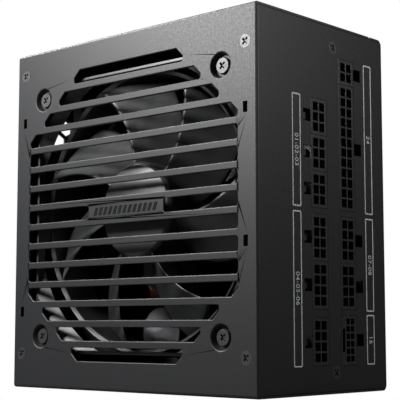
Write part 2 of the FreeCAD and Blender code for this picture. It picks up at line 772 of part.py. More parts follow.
def make_fan_cover():
    """The slotted fan plate with a flange over the top and the bottom of the case."""
    cover = body("fan_cover_sheet")
    reach = front + s.cover_reach
    profile = outline(
        (front, bottom, s.bend), (reach, bottom), (reach, bottom + s.metal),
        (plate_inside, bottom + s.metal, s.bend - s.metal),
        (plate_inside, top - s.metal, s.bend - s.metal),
        (reach, top - s.metal), (reach, top), (front, top, s.bend))
    pad(cover, "cover_fold", "YZ", (left, right), profile)
    through = (front - s.metal, plate_inside + s.metal)
    slots = []
    for number, (height, half, cut_side) in enumerate(slot_rows()):
        if number == 7:
            low, high = height - s.slot_height / 2, height + s.slot_height / 2
            for span in ((-half, -s.badge_half), (s.badge_half, half)):
                slots.append(rectangle(span, (low, high), s.slot_round))
            continue
        slots.append(slot_outline(height, half, cut_side))
    for number in range(0, len(slots), 4):
        pocket(cover, f"slots_{number}", "XZ", through, *slots[number:number + 4])
    pocket(cover, "tab_slots", "XZ", through, *tab_slots())

    cups, hollows = [], []
    floor = front + s.dimple_depth
    for number, place_xz in enumerate(fan_screw_places):
        cups.append(cone(f"cup_{number}", "y", place_xz,
                         (s.dimple_radius + s.metal, s.dimple_floor + s.metal),
                         (front, fan_front)))
        hollows.append(cone(f"cup_hollow_{number}", "y", place_xz,
                            (s.dimple_radius, s.dimple_floor), (front, floor)))
        hollows.append(rod(f"cup_hole_{number}", "y", place_xz, s.fan_shank,
                           (front, fan_front + s.metal)))
    for number, place_xz in enumerate(cover_screw_places):
        hollows.append(cone(f"countersink_{number}", "y", place_xz,
                            (s.small_head, s.small_shank), (front, plate_inside)))
    dimpled = join("fan_cover_dimpled", cover, *cups)
    keep("fan_cover", cut("fan_cover", dimpled, *hollows))


def panel_holes(tray):
    """Openings of the mains panel."""
    gap = s.panel_clearance
    loops = []
    for y, z, short, long in (
            (s.inlet_y, s.inlet_z, s.inlet_short, s.inlet_long),
            (s.switch_y, s.switch_z, s.switch_short, s.switch_long)):
        middle = front + y
        loops.append(rectangle((middle - short / 2 - gap, middle + short / 2 + gap),
                               (z - long / 2 - gap, z + long / 2 + gap)))
    for spot in inlet_screw_places + [earth_place]:
        loops.append(circle(spot, s.small_shank))
    for spot in (
            (back - s.mount_edge, bottom + s.mount_edge),
            (back - s.mount_edge, top - s.mount_edge),
            (front + s.mount_offset, bottom + s.mount_edge),
            (front + s.mount_edge, top - s.mount_shift)):
        loops.append(circle(spot, s.mount_radius))
    pocket(tray, "mains_panel_holes", "YZ", (left - s.metal, mains_inside + s.metal), *loops)


def vent_grille():
    """Cutters for the honeycomb of the mains panel, as many cells as its field takes."""
    step = s.vent_cell + s.vent_bar
    row_step = step * math.sqrt(3) / 2
    y_low, y_high = front + s.vent_front, front + s.vent_back
    columns = int((y_high - y_low).value / step.value - 0.5)
    rows = int((s.vent_top - s.vent_bottom - s.vent_cell).value / row_step.value) + 1
    cells = []
    for row in range(rows):
        for column in range(columns):
            y = y_low + s.vent_cell / 2 + step * (column + 0.5 * (row % 2))
            z = s.vent_bottom + s.vent_cell / 2 + row_step * row
            cell = document.addObject("Part::Prism", f"cell_{row}_{column}")
            cell.Polygon = 6
            bind(cell, Circumradius=s.vent_cell / math.sqrt(3), Height=s.metal * 3)
            turn = AXES["x"]
            cells.append(place(cell, (left - s.metal, y, z), turn))
    return cells


def socket_openings(tray):
    """Openings of the socket panel: one for each group, with a latch notch per socket."""
    through = (sockets_inside - s.metal, right + s.metal)
    gap = s.socket_clearance
    half = s.socket_width / 2
    openings = []
    for sockets in STACKS:
        y, side, first_z, first_rows = sockets[0]
        last_z, last_rows = sockets[-1][2:]
        openings.append((y, side, last_z - socket_height(last_rows) / 2,
                         first_z + socket_height(first_rows) / 2, [item[2] for item in sockets]))
    y, z = fine_socket
    openings.append((y, 1, z - s.fine_height / 2, z + s.fine_height / 2, [z]))
    holes, notches = [], []
    for y, side, low, high, latches in openings:
        holes.append(rectangle((y - half - gap, y + half + gap), (low - gap, high + gap)))
        edge = y + (half + gap) * side
        far = edge + s.notch_width * side
        span = (far, edge + gap) if side < 0 else (edge - gap, far)
        for z in latches:
            notches.append(rectangle(span, (z - s.notch_height / 2, z + s.notch_height / 2)))
    pocket(tray, "socket_holes", "YZ", through, *holes)
    pocket(tray, "latch_notches", "YZ", through, *notches)


def make_tray():
    """The back plate with the mains panel, the socket panel and their flanges."""
    tray = body("tray_sheet")
    lip = plate_inside + s.metal
    inner = s.bend - s.metal
    channel = outline(
        (left, plate_inside, s.bend), (left + s.front_flange, plate_inside),
        (left + s.front_flange, lip), (mains_inside, lip, inner),
        (mains_inside, back_inside, inner), (sockets_inside, back_inside, inner),
        (sockets_inside, lip, inner), (right - s.front_flange, lip),
        (right - s.front_flange, plate_inside), (right, plate_inside, s.bend),
        (right, back, s.bend), (left, back, s.bend))
    pad(tray, "tray_channel", "XY", (tray_bottom, tray_top), channel)
    edge = back - s.tray_reach
    lip_end = edge - s.tray_lip
    deep = s.tray_corner - s.metal
    low, high = tray_bottom + s.metal, tray_top - s.metal
    saddle = outline(
        (back, bottom, s.tray_corner), (back, top, s.tray_corner), (edge, top),
        (edge, tray_top), (lip_end, tray_top), (lip_end, high), (edge + s.metal, high),
        (edge + s.metal, top - s.metal), (back_inside, top - s.metal, deep),
        (back_inside, bottom + s.metal, deep), (edge + s.metal, bottom + s.metal),
        (edge + s.metal, low), (lip_end, low), (lip_end, tray_bottom), (edge, tray_bottom),
        (edge, bottom))
    pad(tray, "tray_saddle", "YZ", (left, right), saddle)
    panel_holes(tray)
    socket_openings(tray)
    flange_holes = [circle(spot, s.small_shank) for spot in cover_screw_places]
    pocket(tray, "flange_holes", "XZ", (plate_inside - s.metal, lip + s.metal),
           *flange_holes, *tab_slots())
    sinks = []
    for number, spot in enumerate(socket_screw_places):
        sinks.append(cone(f"socket_sink_{number}", "x", spot,
                          (s.small_shank, s.small_head), (sockets_inside, right)))
    for number, spot in enumerate(inlet_screw_places):
        sinks.append(cone(f"inlet_sink_{number}", "x", spot,
                          (s.small_head, s.small_shank), (left, mains_inside)))
    keep("chassis_tray", cut("chassis_tray", tray, group("tray_cutters", *vent_grille(), *sinks)))


def flat_screw(name, axis, centre, face, direction):
    """A flat head screw: its head flush with a face, its shank going in from there."""
    head_end = face + s.metal * direction
    shank_end = head_end + s.small_length * direction
    if direction > 0:
        head = cone(f"{name}_head", axis, centre, (s.small_head, s.small_shank), (face, head_end))
        shank = rod(f"{name}_shank", axis, centre, s.small_shank, (head_end, shank_end))
        recess = (face - s.metal, face + s.metal * 0.8)
    else:
        head = cone(f"{name}_head", axis, centre, (s.small_shank, s.small_head), (head_end, face))
        shank = rod(f"{name}_shank", axis, centre, s.small_shank, (shank_end, head_end))
        recess = (face - s.metal * 0.8, face + s.metal)
    solid = join(f"{name}_blank", head, shank)
    return cut(name, solid, *cross_recess(name, axis, centre, recess))


def make_flat_screws():
    """The flat head screws of the cover, the socket board and the mains inlet."""
    screws = []
    for number, spot in enumerate(cover_screw_places):
        screws.append(flat_screw(f"cover_screw_{number}", "y", spot, front, 1))
    for number, spot in enumerate(socket_screw_places):
        screws.append(flat_screw(f"socket_screw_{number}", "x", spot, right, -1))
    for number, spot in enumerate(inlet_screw_places):
        screws.append(flat_screw(f"inlet_screw_{number}", "x", spot, left, 1))
    keep("flat_head_screws", group("flat_head_screws", *screws))


def make_rating_label():
    """The blank rating label on the back plate."""
    half = s.label_width / 2
    low, high = middle_z - s.label_height / 2, middle_z + s.label_height / 2
    label = body("rating_label")
    pad(label, "label_sheet", "XZ", (back, back + s.label_thickness),
        rectangle((-half, half), (low, high), s.tray_corner))
    keep("rating_label", label)


# ---------------------------------------------------------------- the fan


def make_fan_frame():
    """The square fan frame: two plates joined by a round duct, struts and a motor base."""
    centre = (0, middle_z)
    square = body("fan_square")
    pad(square, "fan_block", "XZ", (fan_front, fan_back),
        rectangle((-fan_half, fan_half), (middle_z - fan_half, middle_z + fan_half), s.fan_corner))
    waist = (fan_front + s.fan_plate, fan_back - s.fan_plate)
    around = box("fan_waist_block", (-s.fan_size, s.fan_size), waist,
                 (middle_z - s.fan_size, middle_z + s.fan_size))
    duct = rod("fan_waist_duct", "y", centre, fan_half - s.fan_rim / 4, waist)
    waist_cut = cut("fan_waist_cut", around, duct)

    mouth_half = fan_half - s.fan_rim
    mouth_back = fan_front + s.mouth_depth
    flare = cone("fan_flare", "y", centre, (fan_mouth, fan_bore), (fan_front, mouth_back))
    inset = box("fan_mouth_inset", (-mouth_half, mouth_half), (fan_front, mouth_back),
                (middle_z - mouth_half, middle_z + mouth_half))
    mouth = common("fan_mouth", flare, inset)
    bore = rod("fan_duct_bore", "y", centre, fan_bore, (fan_front - 1, fan_back + 1))
    holes = []
    for number, spot in enumerate(fan_screw_places):
        holes.append(rod(f"fan_hole_{number}", "y", spot, s.fan_shank,
                         (fan_front - 1, fan_back + 1)))
    shell = cut("fan_shell", square, waist_cut, mouth, bore, *holes)

    base = rod("fan_base", "y", centre, motor_base, (fan_back - s.strut_depth, fan_back))
    sink = rod("fan_base_sink", "y", centre, motor_base - s.hub_wall,
               (fan_back - s.strut_depth, fan_back - s.base_floor))
    tower = rod("fan_tower", "y", centre, s.bearing_tube,
                (fan_front + s.hub_start + s.hub_wall * 2 + s.air_gap * 2, fan_back))
    dish = cut("fan_dish", base, sink)
    struts = []
    for number, angle in enumerate((20, 110, 200, 290)):
        reach = (motor_base + fan_bore) / 2
        middle = (reach * math.cos(math.radians(angle)),
                  middle_z + reach * math.sin(math.radians(angle)))
        length = fan_bore - motor_base + s.fan_rim
        struts.append(bar(f"fan_strut_{number}", "y", middle, -angle, length, s.strut_width,
                          (fan_back - s.strut_depth, fan_back)))
    body_parts = join("fan_body", shell, dish, tower, *struts)
    bearing_bore = rod("fan_bearing_bore", "y", centre, s.bearing_radius,
                       (fan_front, fan_back - s.base_floor / 2))
    keep("fan_frame", cut("fan_frame", body_parts, bearing_bore))


BLADE_SECTIONS = 4
BLADE_STOPS = 5


def blade_section(lead, share):
    """The section of a blade in a plane across its span, at a share of the way to the tip."""
    inner, outer = s.hub_radius.value - s.hub_wall.value, blade_tip.value * 1.03
    radius = inner + (outer - inner) * share
    edge = lead + s.blade_sweep.value * share ** 1.25
    arc = s.blade_root_arc.value + (s.blade_tip_arc.value - s.blade_root_arc.value) * share
    middle = math.radians(edge - arc / 2)
    outward = FreeCAD.Vector(math.cos(middle), 0, math.sin(middle))
    forward = FreeCAD.Vector(-math.sin(middle), 0, math.cos(middle))
    hub = FreeCAD.Vector(0, fan_front.value + s.blade_start.value, middle_z.value)
    slope = math.atan2(s.blade_depth.value, math.radians(arc) * radius)
    sides = ([], [])
    for stop in range(BLADE_STOPS):
        run = stop / (BLADE_STOPS - 1)
        across = radius * math.tan(math.radians(arc * (0.5 - run)))
        depth = s.blade_depth.value * (run + 0.3 * run * (1 - run))
        half = s.blade_thickness.value / 2 * (0.45 + 0.55 * math.sin(math.pi * (run * 0.8 + 0.1)))
        for sign, side in zip((-1, 1), sides):
            spot = hub + outward * radius + forward * (across + sign * half * math.sin(slope))
            side.append(spot + FreeCAD.Vector(0, depth + sign * half * math.cos(slope), 0))
    near, far = Part.BSplineCurve(), Part.BSplineCurve()
    near.interpolate(sides[0])
    far.interpolate(sides[1])
    return Part.Wire([near.toShape(), Part.makeLine(sides[0][-1], sides[1][-1]),
                      far.toShape(), Part.makeLine(sides[1][0], sides[0][0])])


def blade_shape(lead):
    """One twisted, swept blade, lofted through its sections and trimmed round at the tip."""
    shares = [step / (BLADE_SECTIONS - 1) for step in range(BLADE_SECTIONS)]
    loft = Part.makeLoft([blade_section(lead, share) for share in shares], True, False)
    base = FreeCAD.Vector(0, fan_front.value, middle_z.value)
    swept = Part.makeCylinder(blade_tip.value, s.fan_depth.value, base, FreeCAD.Vector(0, 1, 0))
    return loft.common(swept).Solids[0]


def make_impeller():
    """The hub cup and its blades, made from the fan's sizes as lofted solids."""
    centre = (0, middle_z)
    hub_front = fan_front + s.hub_start
    hub_back = hub_front + s.hub_depth
    inside = s.hub_radius - s.hub_wall
    rim = rod("hub_rim", "y", centre, s.hub_radius, (hub_front + s.hub_bevel, hub_back))
    face = cone("hub_face", "y", centre, (s.hub_radius - s.hub_bevel, s.hub_radius),
                (hub_front, hub_front + s.hub_bevel))
    hollow = rod("hub_hollow", "y", centre, inside, (hub_front + s.hub_wall, hub_back + 1))
    boss = rod("hub_boss", "y", centre, s.bearing_tube, (hub_front, hub_front + s.hub_wall * 2))
    shaft_hole = rod("hub_shaft_hole", "y", centre, s.shaft_radius,
                     (hub_front + s.hub_wall, hub_back))
    blades = []
    pitch = 360 / s.blade_count.value
    for number in range(int(s.blade_count.value)):
        blade = document.addObject("Part::Feature", f"blade_{number}")
        blade.Shape = blade_shape(s.blade_lead.value - pitch * number)
        blades.append(blade)
    wheel = join("impeller_wheel", rim, face, *blades)
    hollowed = cut("impeller_hollowed", wheel, hollow)
    bossed = join("impeller_bossed", hollowed, boss)
    keep("fan_impeller", cut("fan_impeller", bossed, shaft_hole))

    cup_floor = hub_front + s.hub_wall
    keep("rotor_ring", tube("rotor_ring", "y", centre, inside, inside - s.yoke_wall,
                            (cup_floor, hub_back - s.hub_wall)))
    magnet_inside = inside - s.yoke_wall - s.magnet_wall
    keep("rotor_magnet", tube("rotor_magnet", "y", centre, inside - s.yoke_wall, magnet_inside,
                              (cup_floor + s.hub_wall, hub_back - s.hub_wall * 2)))
    bearing_end = fan_back - s.base_floor
    keep("fan_shaft", rod("fan_shaft", "y", centre, s.shaft_radius, (cup_floor, bearing_end)))
    tower_front = fan_front + s.hub_start + s.hub_wall * 2 + s.air_gap * 2
    keep("fan_bearing", tube("fan_bearing", "y", centre, s.bearing_radius,
                             s.shaft_radius + s.shaft_clearance, (tower_front, bearing_end)))


def make_motor():
    """The stator, its coils and the little driver board inside the hub."""
    centre = (0, middle_z)
    magnet_inside = s.hub_radius - s.hub_wall - s.yoke_wall - s.magnet_wall
    reach = magnet_inside - s.air_gap
    core_front = fan_front + s.hub_start + s.hub_wall * 4
    core_back = core_front + s.hub_depth / 3
    middle = s.bearing_tube + s.hub_wall
    waist = s.bearing_tube
    ring = rod("stator_hub", "y", centre, middle, (core_front, core_back))
    rim = tube("stator_rim", "y", centre, reach, reach - s.hub_wall, (core_front, core_back))
    gaps, arms, coils = [], [], []
    for number in range(4):
        angle = 45 + 90 * number
        gaps.append(bar(f"stator_gap_{number}", "y",
                        (reach * math.cos(math.radians(angle + 45)),
                         middle_z + reach * math.sin(math.radians(angle + 45))),
                        -(angle + 45), waist, s.hub_wall * 2, (core_front, core_back)))
        length = reach - s.hub_wall / 2
        arms.append(bar(f"stator_arm_{number}", "y",
                        (length / 2 * math.cos(math.radians(angle)),
                         middle_z + length / 2 * math.sin(math.radians(angle))),
                        -angle, length, s.strut_width, (core_front, core_back)))
        coil_reach = (middle + reach - s.hub_wall) / 2
        spot = (coil_reach * math.cos(math.radians(angle)),
                middle_z + coil_reach * math.sin(math.radians(angle)))
        coil_length = reach - s.hub_wall - middle - s.air_gap * 2
        outer = bar(f"coil_block_{number}", "y", spot, -angle, coil_length, s.strut_width * 2.2,
                    (core_front - s.hub_wall, core_back + s.hub_wall))
        inner = bar(f"coil_window_{number}", "y", spot, -angle, coil_length * 2, s.strut_width,
                    (core_front, core_back))
        coils.append(cut(f"coil_{number}", outer, inner))
    toothed = cut("stator_teeth", join("stator_blank", ring, rim, *arms), *gaps)
    seat = rod("stator_seat", "y", centre, s.bearing_tube, (core_front - 1, core_back + 1))
    keep("stator_core", cut("stator_core", toothed, seat))
    keep("stator_coils", group("stator_coils", *coils))
    floor = fan_back - s.base_floor
    keep("motor_board", tube("motor_board", "y", centre, motor_base - s.hub_wall * 2,
                             s.bearing_tube, (floor - s.base_floor / 2, floor)))


def make_fan_screws():
    """The four pan head screws of the fan, in their dimples."""
    screws = []
    seat = front + s.dimple_depth
    for number, spot in enumerate(fan_screw_places):
        head = cone(f"fan_screw_head_{number}", "y", spot, (s.fan_head - s.cross_width / 2, s.fan_head),
                    (seat - s.fan_head_height, seat))
        shank = rod(f"fan_screw_shank_{number}", "y", spot, s.fan_shank,
                    (seat, seat + s.fan_screw_length))
        solid = join(f"fan_screw_blank_{number}", head, shank)
        recess = (seat - s.fan_head_height * 2, seat - s.fan_head_height / 4)
        screws.append(cut(f"fan_screw_{number}", solid,
                          *cross_recess(f"fan_screw_{number}", "y", spot, recess)))
    keep("fan_screws", group("fan_screws", *screws))


# ---------------------------------------------------------------- the sockets


def make_socket(name, y, side, z, rows):
    """A socket for two columns of pins, with its cavities and its latch lug."""
    half = s.socket_width / 2
    high = socket_height(rows)
    solid = body(name)
    pad(solid, f"{name}_shell", "YZ", (socket_back, right),
        rectangle((y - half, y + half), (z - high / 2, z + high / 2)))
    lug = (y + half * side, y + (half + s.latch_reach) * side)
    lug = lug if side > 0 else (lug[1], lug[0])
    pad(solid, f"{name}_latch", "YZ", (right - s.latch_inset * 2, right - s.latch_inset),
        rectangle(lug, (z - s.latch_width / 2, z + s.latch_width / 2)))
    lowest = z - s.pin_pitch * (rows - 1) / 2
    cells = []
    for column in (-1, 1):
        middle = y + s.pin_pitch / 2 * column
        cells.append(rectangle((middle - s.cavity / 2, middle + s.cavity / 2),
                               (lowest - s.cavity / 2, lowest + s.cavity / 2)))
    holes = pocket(solid, f"{name}_cavity", "YZ", (right - s.cavity_depth, right + 1), *cells)
    repeat(solid, f"{name}_cavities", holes, "Z_Axis", s.pin_pitch * (rows - 1), rows)
    return solid


def make_fine_socket():
    """The sixteen pin socket: twelve fine cavities and a slot for the sense contacts."""
    y, z = fine_socket
    half = s.socket_width / 2
    solid = body("fine_socket")
    pad(solid, "fine_shell", "YZ", (socket_back, right),
        rectangle((y - half, y + half), (z - s.fine_height / 2, z + s.fine_height / 2)))
    pad(solid, "fine_latch", "YZ", (right - s.latch_inset * 2, right - s.latch_inset),
        rectangle((y + half, y + half + s.latch_reach),
                  (z - s.latch_width / 2, z + s.latch_width / 2)))
    lowest = z - s.fine_pitch * 5 / 2
    cells = []
    for spot in fine_columns(y):
        cells.append(rectangle((spot - s.fine_cavity / 2, spot + s.fine_cavity / 2),
                               (lowest - s.fine_cavity / 2, lowest + s.fine_cavity / 2)))
    span = (right - s.cavity_depth, right + 1)
    holes = pocket(solid, "fine_cavity", "YZ", span, *cells)
    repeat(solid, "fine_cavities", holes, "Z_Axis", s.fine_pitch * 5, 6)
    sense = y - half + s.sense_width
    pocket(solid, "sense_slot", "YZ", span,
           rectangle((sense - s.sense_width / 2, sense + s.sense_width / 2),
                     (z - s.sense_height / 2, z + s.sense_height / 2)))
    return solid


def fine_columns(y):
    """The two power columns of the sixteen pin socket, beside its sense slot."""
    middle = y + s.sense_width / 2
    return (middle - s.fine_pitch / 2, middle + s.fine_pitch / 2)


def make_sockets():
    """All modular sockets, one node for each kind."""
    kinds = {2: [], 3: [], 4: [], 12: []}
    for number, sockets in enumerate(STACKS):
        for item, (y, side, z, rows) in enumerate(sockets):
            kinds[rows].append(make_socket(f"socket_{number}_{item}", y, side, z, rows))
    keep("four_pin_socket", kinds[2][0])
    keep("six_pin_sockets", group("six_pin_sockets", *kinds[3]))
    keep("eight_pin_sockets", group("eight_pin_sockets", *kinds[4]))
    keep("twenty_four_pin_socket", kinds[12][0])
    keep("sixteen_pin_socket", make_fine_socket())


def make_socket_pins():
    """The pins that stand in the cavities."""
    pins = []
    base = right - s.cavity_depth
    span = (base, base + s.pin_length)
    for number, sockets in enumerate(STACKS):
        for item, (y, side, z, rows) in enumerate(sockets):
            lowest = z - s.pin_pitch * (rows - 1) / 2
            for row in range(rows):
                for column in (-1, 1):
                    spot_y = y + s.pin_pitch / 2 * column
                    spot_z = lowest + s.pin_pitch * row
                    pins.append(square_pin(f"pin_{number}_{item}_{row}_{column + 1}",
                                           span, spot_y, spot_z, s.pin_side / 2))
    y, z = fine_socket
    lowest = z - s.fine_pitch * 5 / 2
    for row in range(6):
        for column, spot_y in enumerate(fine_columns(y)):
            pins.append(square_pin(f"fine_pin_{row}_{column}", span, spot_y,
                                   lowest + s.fine_pitch * row, s.fine_pin_side / 2))
    keep("socket_pins", group("socket_pins", *pins))


def square_pin(name, span, y, z, half):
    """A square pin along X."""
    return box(name, span, (y - half, y + half), (z - half, z + half))


def make_socket_board():
    """The board behind the sockets."""
    low = bottom + s.socket_screw_low - s.post_radius
    high = top - s.socket_screw_high + s.post_radius
    solid = body("socket_board")
    pad(solid, "socket_board_sheet", "YZ", (socket_board_back, socket_back),
        rectangle((near_y - s.socket_width, far_y + s.socket_width), (low, high)))
    keep("socket_board", solid)


# ---------------------------------------------------------------- mains inlet and switch

contact_places = [
    (inlet_y - s.contact_offset / 2, s.inlet_z - s.contact_spacing / 2),
    (inlet_y - s.contact_offset / 2, s.inlet_z + s.contact_spacing / 2),
    (inlet_y + s.contact_offset / 2, s.inlet_z),
]
inlet_back = left + s.inlet_deep
recess_back = left + s.inlet_mouth_deep


def make_inlet():
    """The three pole mains inlet, screwed on behind the panel."""
    half_y, half_z = s.inlet_short / 2, s.inlet_long / 2
    shell = body("inlet_shell")
    pad(shell, "inlet_block", "YZ", (left, inlet_back),
        rectangle((inlet_y - half_y, inlet_y + half_y), (s.inlet_z - half_z, s.inlet_z + half_z)))
    flange_y, flange_z = s.inlet_flange_short / 2, s.inlet_flange_long / 2
    pad(shell, "inlet_ears", "YZ", (mains_inside, mains_inside + s.inlet_flange),
        rectangle((inlet_y - flange_y, inlet_y + flange_y),
                  (s.inlet_z - flange_z, s.inlet_z + flange_z), s.bend))
    mouth_y, mouth_z = s.inlet_mouth_short / 2, s.inlet_mouth_long / 2
    mouth = outline(
        (inlet_y - mouth_y, s.inlet_z - mouth_z), (inlet_y + mouth_y - s.inlet_cut, s.inlet_z - mouth_z),
        (inlet_y + mouth_y, s.inlet_z - mouth_z + s.inlet_cut),
        (inlet_y + mouth_y, s.inlet_z + mouth_z - s.inlet_cut),
        (inlet_y + mouth_y - s.inlet_cut, s.inlet_z + mouth_z), (inlet_y - mouth_y, s.inlet_z + mouth_z))
    pocket(shell, "inlet_recess", "YZ", (left - 1, recess_back), mouth)
    ears = [circle(spot, s.small_shank) for spot in inlet_screw_places]
    pocket(shell, "inlet_ear_holes", "YZ", (left, mains_inside + s.inlet_flange * 2), *ears)
    slots = []
    contacts = []
    for number, (y, z) in enumerate(contact_places):
        half_long, half_thick = s.contact_long / 2, s.contact_thick / 2
        slots.append(box(f"contact_slot_{number}", (recess_back - 1, inlet_back + 1),
                         (y - half_long, y + half_long), (z - half_thick, z + half_thick)))
        blade = box(f"contact_blade_{number}", (recess_back - s.contact_reach, inlet_back),
                    (y - half_long, y + half_long), (z - half_thick, z + half_thick))
        tab = box(f"contact_tab_{number}", (inlet_back, inlet_back + s.tab_reach),
                  (y - s.spade_width / 2, y + s.spade_width / 2),
                  (z - s.spade_thick / 2, z + s.spade_thick / 2))
        contacts.append(join(f"contact_{number}", blade, tab))
    keep("inlet_housing", cut("inlet_housing", shell, *slots))
    keep("inlet_contacts", group("inlet_contacts", *contacts))


switch_cavity = s.switch_short / 2 - s.switch_wall
switch_back = left + s.switch_deep
pivot_x = left + s.rocker_pivot
switch_tab_places = []
for side in (-1, 1):
    for level in (-1, 1):
        switch_tab_places.append((switch_y + s.switch_short / 4 * side,
                                  s.switch_z + s.switch_long / 4 * level))


def make_switch():
    """The rocker switch: shell, tilting rocker on two stubs, and solder tabs."""
    half_y, half_z = s.switch_short / 2, s.switch_long / 2
    over = s.switch_flange
    shell = body("switch_shell")
    pad(shell, "switch_block", "YZ", (left, switch_back),
        rectangle((switch_y - half_y, switch_y + half_y), (s.switch_z - half_z, s.switch_z + half_z)))
    pad(shell, "switch_flange", "YZ", (mains_inside, mains_inside + over),
        rectangle((switch_y - half_y - over, switch_y + half_y + over),
                  (s.switch_z - half_z - over, s.switch_z + half_z + over)))
    room_z = half_z - s.switch_wall
    pocket(shell, "switch_room", "YZ", (left - 1, switch_back - s.switch_wall * 2),
           rectangle((switch_y - switch_cavity, switch_y + switch_cavity),
                     (s.switch_z - room_z, s.switch_z + room_z)))
    stub_reach = switch_cavity + s.switch_wall * 0.8
    bearing = rod("rocker_bearing", "y", (pivot_x, s.switch_z), s.rocker_pin + s.shaft_clearance * 2,
                  (switch_y - half_y, switch_y + half_y))
    keep("switch_housing", cut("switch_housing", shell, bearing))

    rocker = body("rocker_block")
    half = s.rocker_half
    profile = outline(
        (-s.rocker_rise, -half), (-s.rocker_dip, 0), (-s.rocker_rise, half),
        (-s.rocker_dip / 4, half), (s.rocker_dip / 2, half / 3), (s.rocker_dip / 2, -half / 3),
        (-s.rocker_dip / 4, -half))
    pad(rocker, "rocker_prism", "XZ", (-s.rocker_width / 2, s.rocker_width / 2), profile)
    stubs = rod("rocker_stubs", "y", (0, 0), s.rocker_pin, (-stub_reach, stub_reach))
    tilted = join("switch_rocker", rocker, stubs)
    turn = FreeCAD.Rotation(FreeCAD.Vector(0, 1, 0), s.rocker_tilt.value)
    place(tilted, (pivot_x, switch_y, s.switch_z), turn)
    tilted.setExpression("Placement.Rotation.Angle", s.rocker_tilt.text)
    keep("switch_rocker", tilted)

    tabs = []
    for number, (y, z) in enumerate(switch_tab_places):
        tabs.append(box(f"switch_tab_{number}", (switch_back, switch_back + s.tab_reach),
                        (y - s.spade_width / 2, y + s.spade_width / 2),
                        (z - s.spade_thick / 2, z + s.spade_thick / 2)))
    keep("switch_terminals", group("switch_terminals", *tabs))


# ---------------------------------------------------------------- boards and what they carry

WINDING_PART = 1.35  # a choke's winding against half the width of its core
PRIMARY_FINS = 12
SECONDARY_FINS = 8
LEG_SHARE = 5  # a transformer's width against one leg of its core
CORE_SHARE = 0.6  # a transformer's core against its coil, along Z

post_places = []
for x in (board_left + s.post_inset, board_right - s.post_inset):
    for z in (board_bottom + s.post_inset, board_top - s.post_inset):
        post_places.append((x, z))


def on_board(name, x, z, width, height, tall):
    """A block standing on the main board: middle, size along X and Z, and its height."""
    return box(name, (x - width / 2, x + width / 2), (board_face - tall, board_face),
               (z - height / 2, z + height / 2))


def can_on_board(name, x, z, radius, tall):
    """A round can standing on the main board."""
    return rod(name, "y", (x, z), radius, (board_face - tall, board_face))


def make_main_board():
    """The insulating sheet, the main board, its screws, and the posts of both boards."""
    solid = body("main_board")
    pad(solid, "main_board_sheet", "XZ", (board_face, board_back),
        rectangle((board_left, board_right), (board_bottom, board_top), s.bend))
    sheet_body = body("insulating_sheet")
    pad(sheet_body, "insulator_sheet", "XZ", (back_inside - s.insulator, back_inside),
        rectangle((board_left, board_right), (board_bottom, board_top), s.bend))
    posts, screws = [], []
    for number, spot in enumerate(post_places):
        through = (board_face - 1, board_back + 1)
        pocket(solid, f"board_hole_{number}", "XZ", through, circle(spot, s.small_shank))
        pocket(sheet_body, f"insulator_hole_{number}", "XZ", (back_inside - 1, back_inside + 1),
               circle(spot, s.post_radius))
        posts.append(tube(f"post_{number}", "y", spot, s.post_radius, s.small_shank,
                          (board_back, back_inside)))
        screws.append(pan_screw(f"board_screw_{number}", "y", spot, board_face, 1,
                                s.small_length))
    keep("main_board", solid)
    keep("insulating_sheet", sheet_body)
    for number, spot in enumerate(socket_screw_places):
        posts.append(tube(f"socket_post_{number}", "x", spot, s.post_radius, s.small_shank,
                          (socket_back, sockets_inside)))
    keep("board_standoffs", group("board_standoffs", *posts))
    return screws


def pan_screw(name, axis, centre, face, direction, length):
    """A pan head screw seated on a face, its shank going in from there."""
    head_end = face - s.fan_head_height * direction
    shank_end = face + length * direction
    if direction > 0:
        head_span, shank_span = (head_end, face), (face, shank_end)
        recess = (head_end - 1, head_end + s.fan_head_height / 2)
    else:
        head_span, shank_span = (face, head_end), (shank_end, face)
        recess = (head_end - s.fan_head_height / 2, head_end + 1)
    head = rod(f"{name}_head", axis, centre, s.small_head, head_span)
    shank = rod(f"{name}_shank", axis, centre, s.small_shank, shank_span)
    solid = join(f"{name}_blank", head, shank)
    return cut(name, solid, *cross_recess(name, axis, centre, recess))


def toroid(name, x, z, ring, core_half, tall):
    """A toroid core lying on the board and its winding, which is left open at two places."""
    wire = core_half * WINDING_PART
    low, high = board_face - tall, board_face
    inner = (low + core_half / 2, high - core_half / 2)
    core = tube(f"{name}_core", "y", (x, z), ring + core_half, ring - core_half, inner)
    jacket = tube(f"{name}_jacket", "y", (x, z), ring + wire, ring - wire, (low, high))
    space = tube(f"{name}_space", "y", (x, z), ring + core_half, ring - core_half, inner)
    reach = ring + core_half * 2
    gap = box(f"{name}_gap", (x - reach, x + reach), (low - tall / 2, high + tall / 2),
              (z - core_half / 2, z + core_half / 2))
    return core, cut(f"{name}_winding", jacket, space, gap)


def disc_part(name, middle, radius, span):
    """A disc standing on edge across Z, on two short legs; middle is its place along X."""
    lift = board_face - radius - s.leg_lift
    legs, half = [], (span[0] + span[1]) / 2
    for number, side in enumerate((-1, 1)):
        foot = (middle + radius / 2 * side, half)
        legs.append(rod(f"{name}_leg_{number}", "y", foot, s.leg_radius, (lift, board_face)))
    return join(name, rod(f"{name}_disc", "z", (middle, lift), radius, span), *legs)


def from_low(low, length):
    """A span given by its lower end and its length."""
    return (low, low + length)


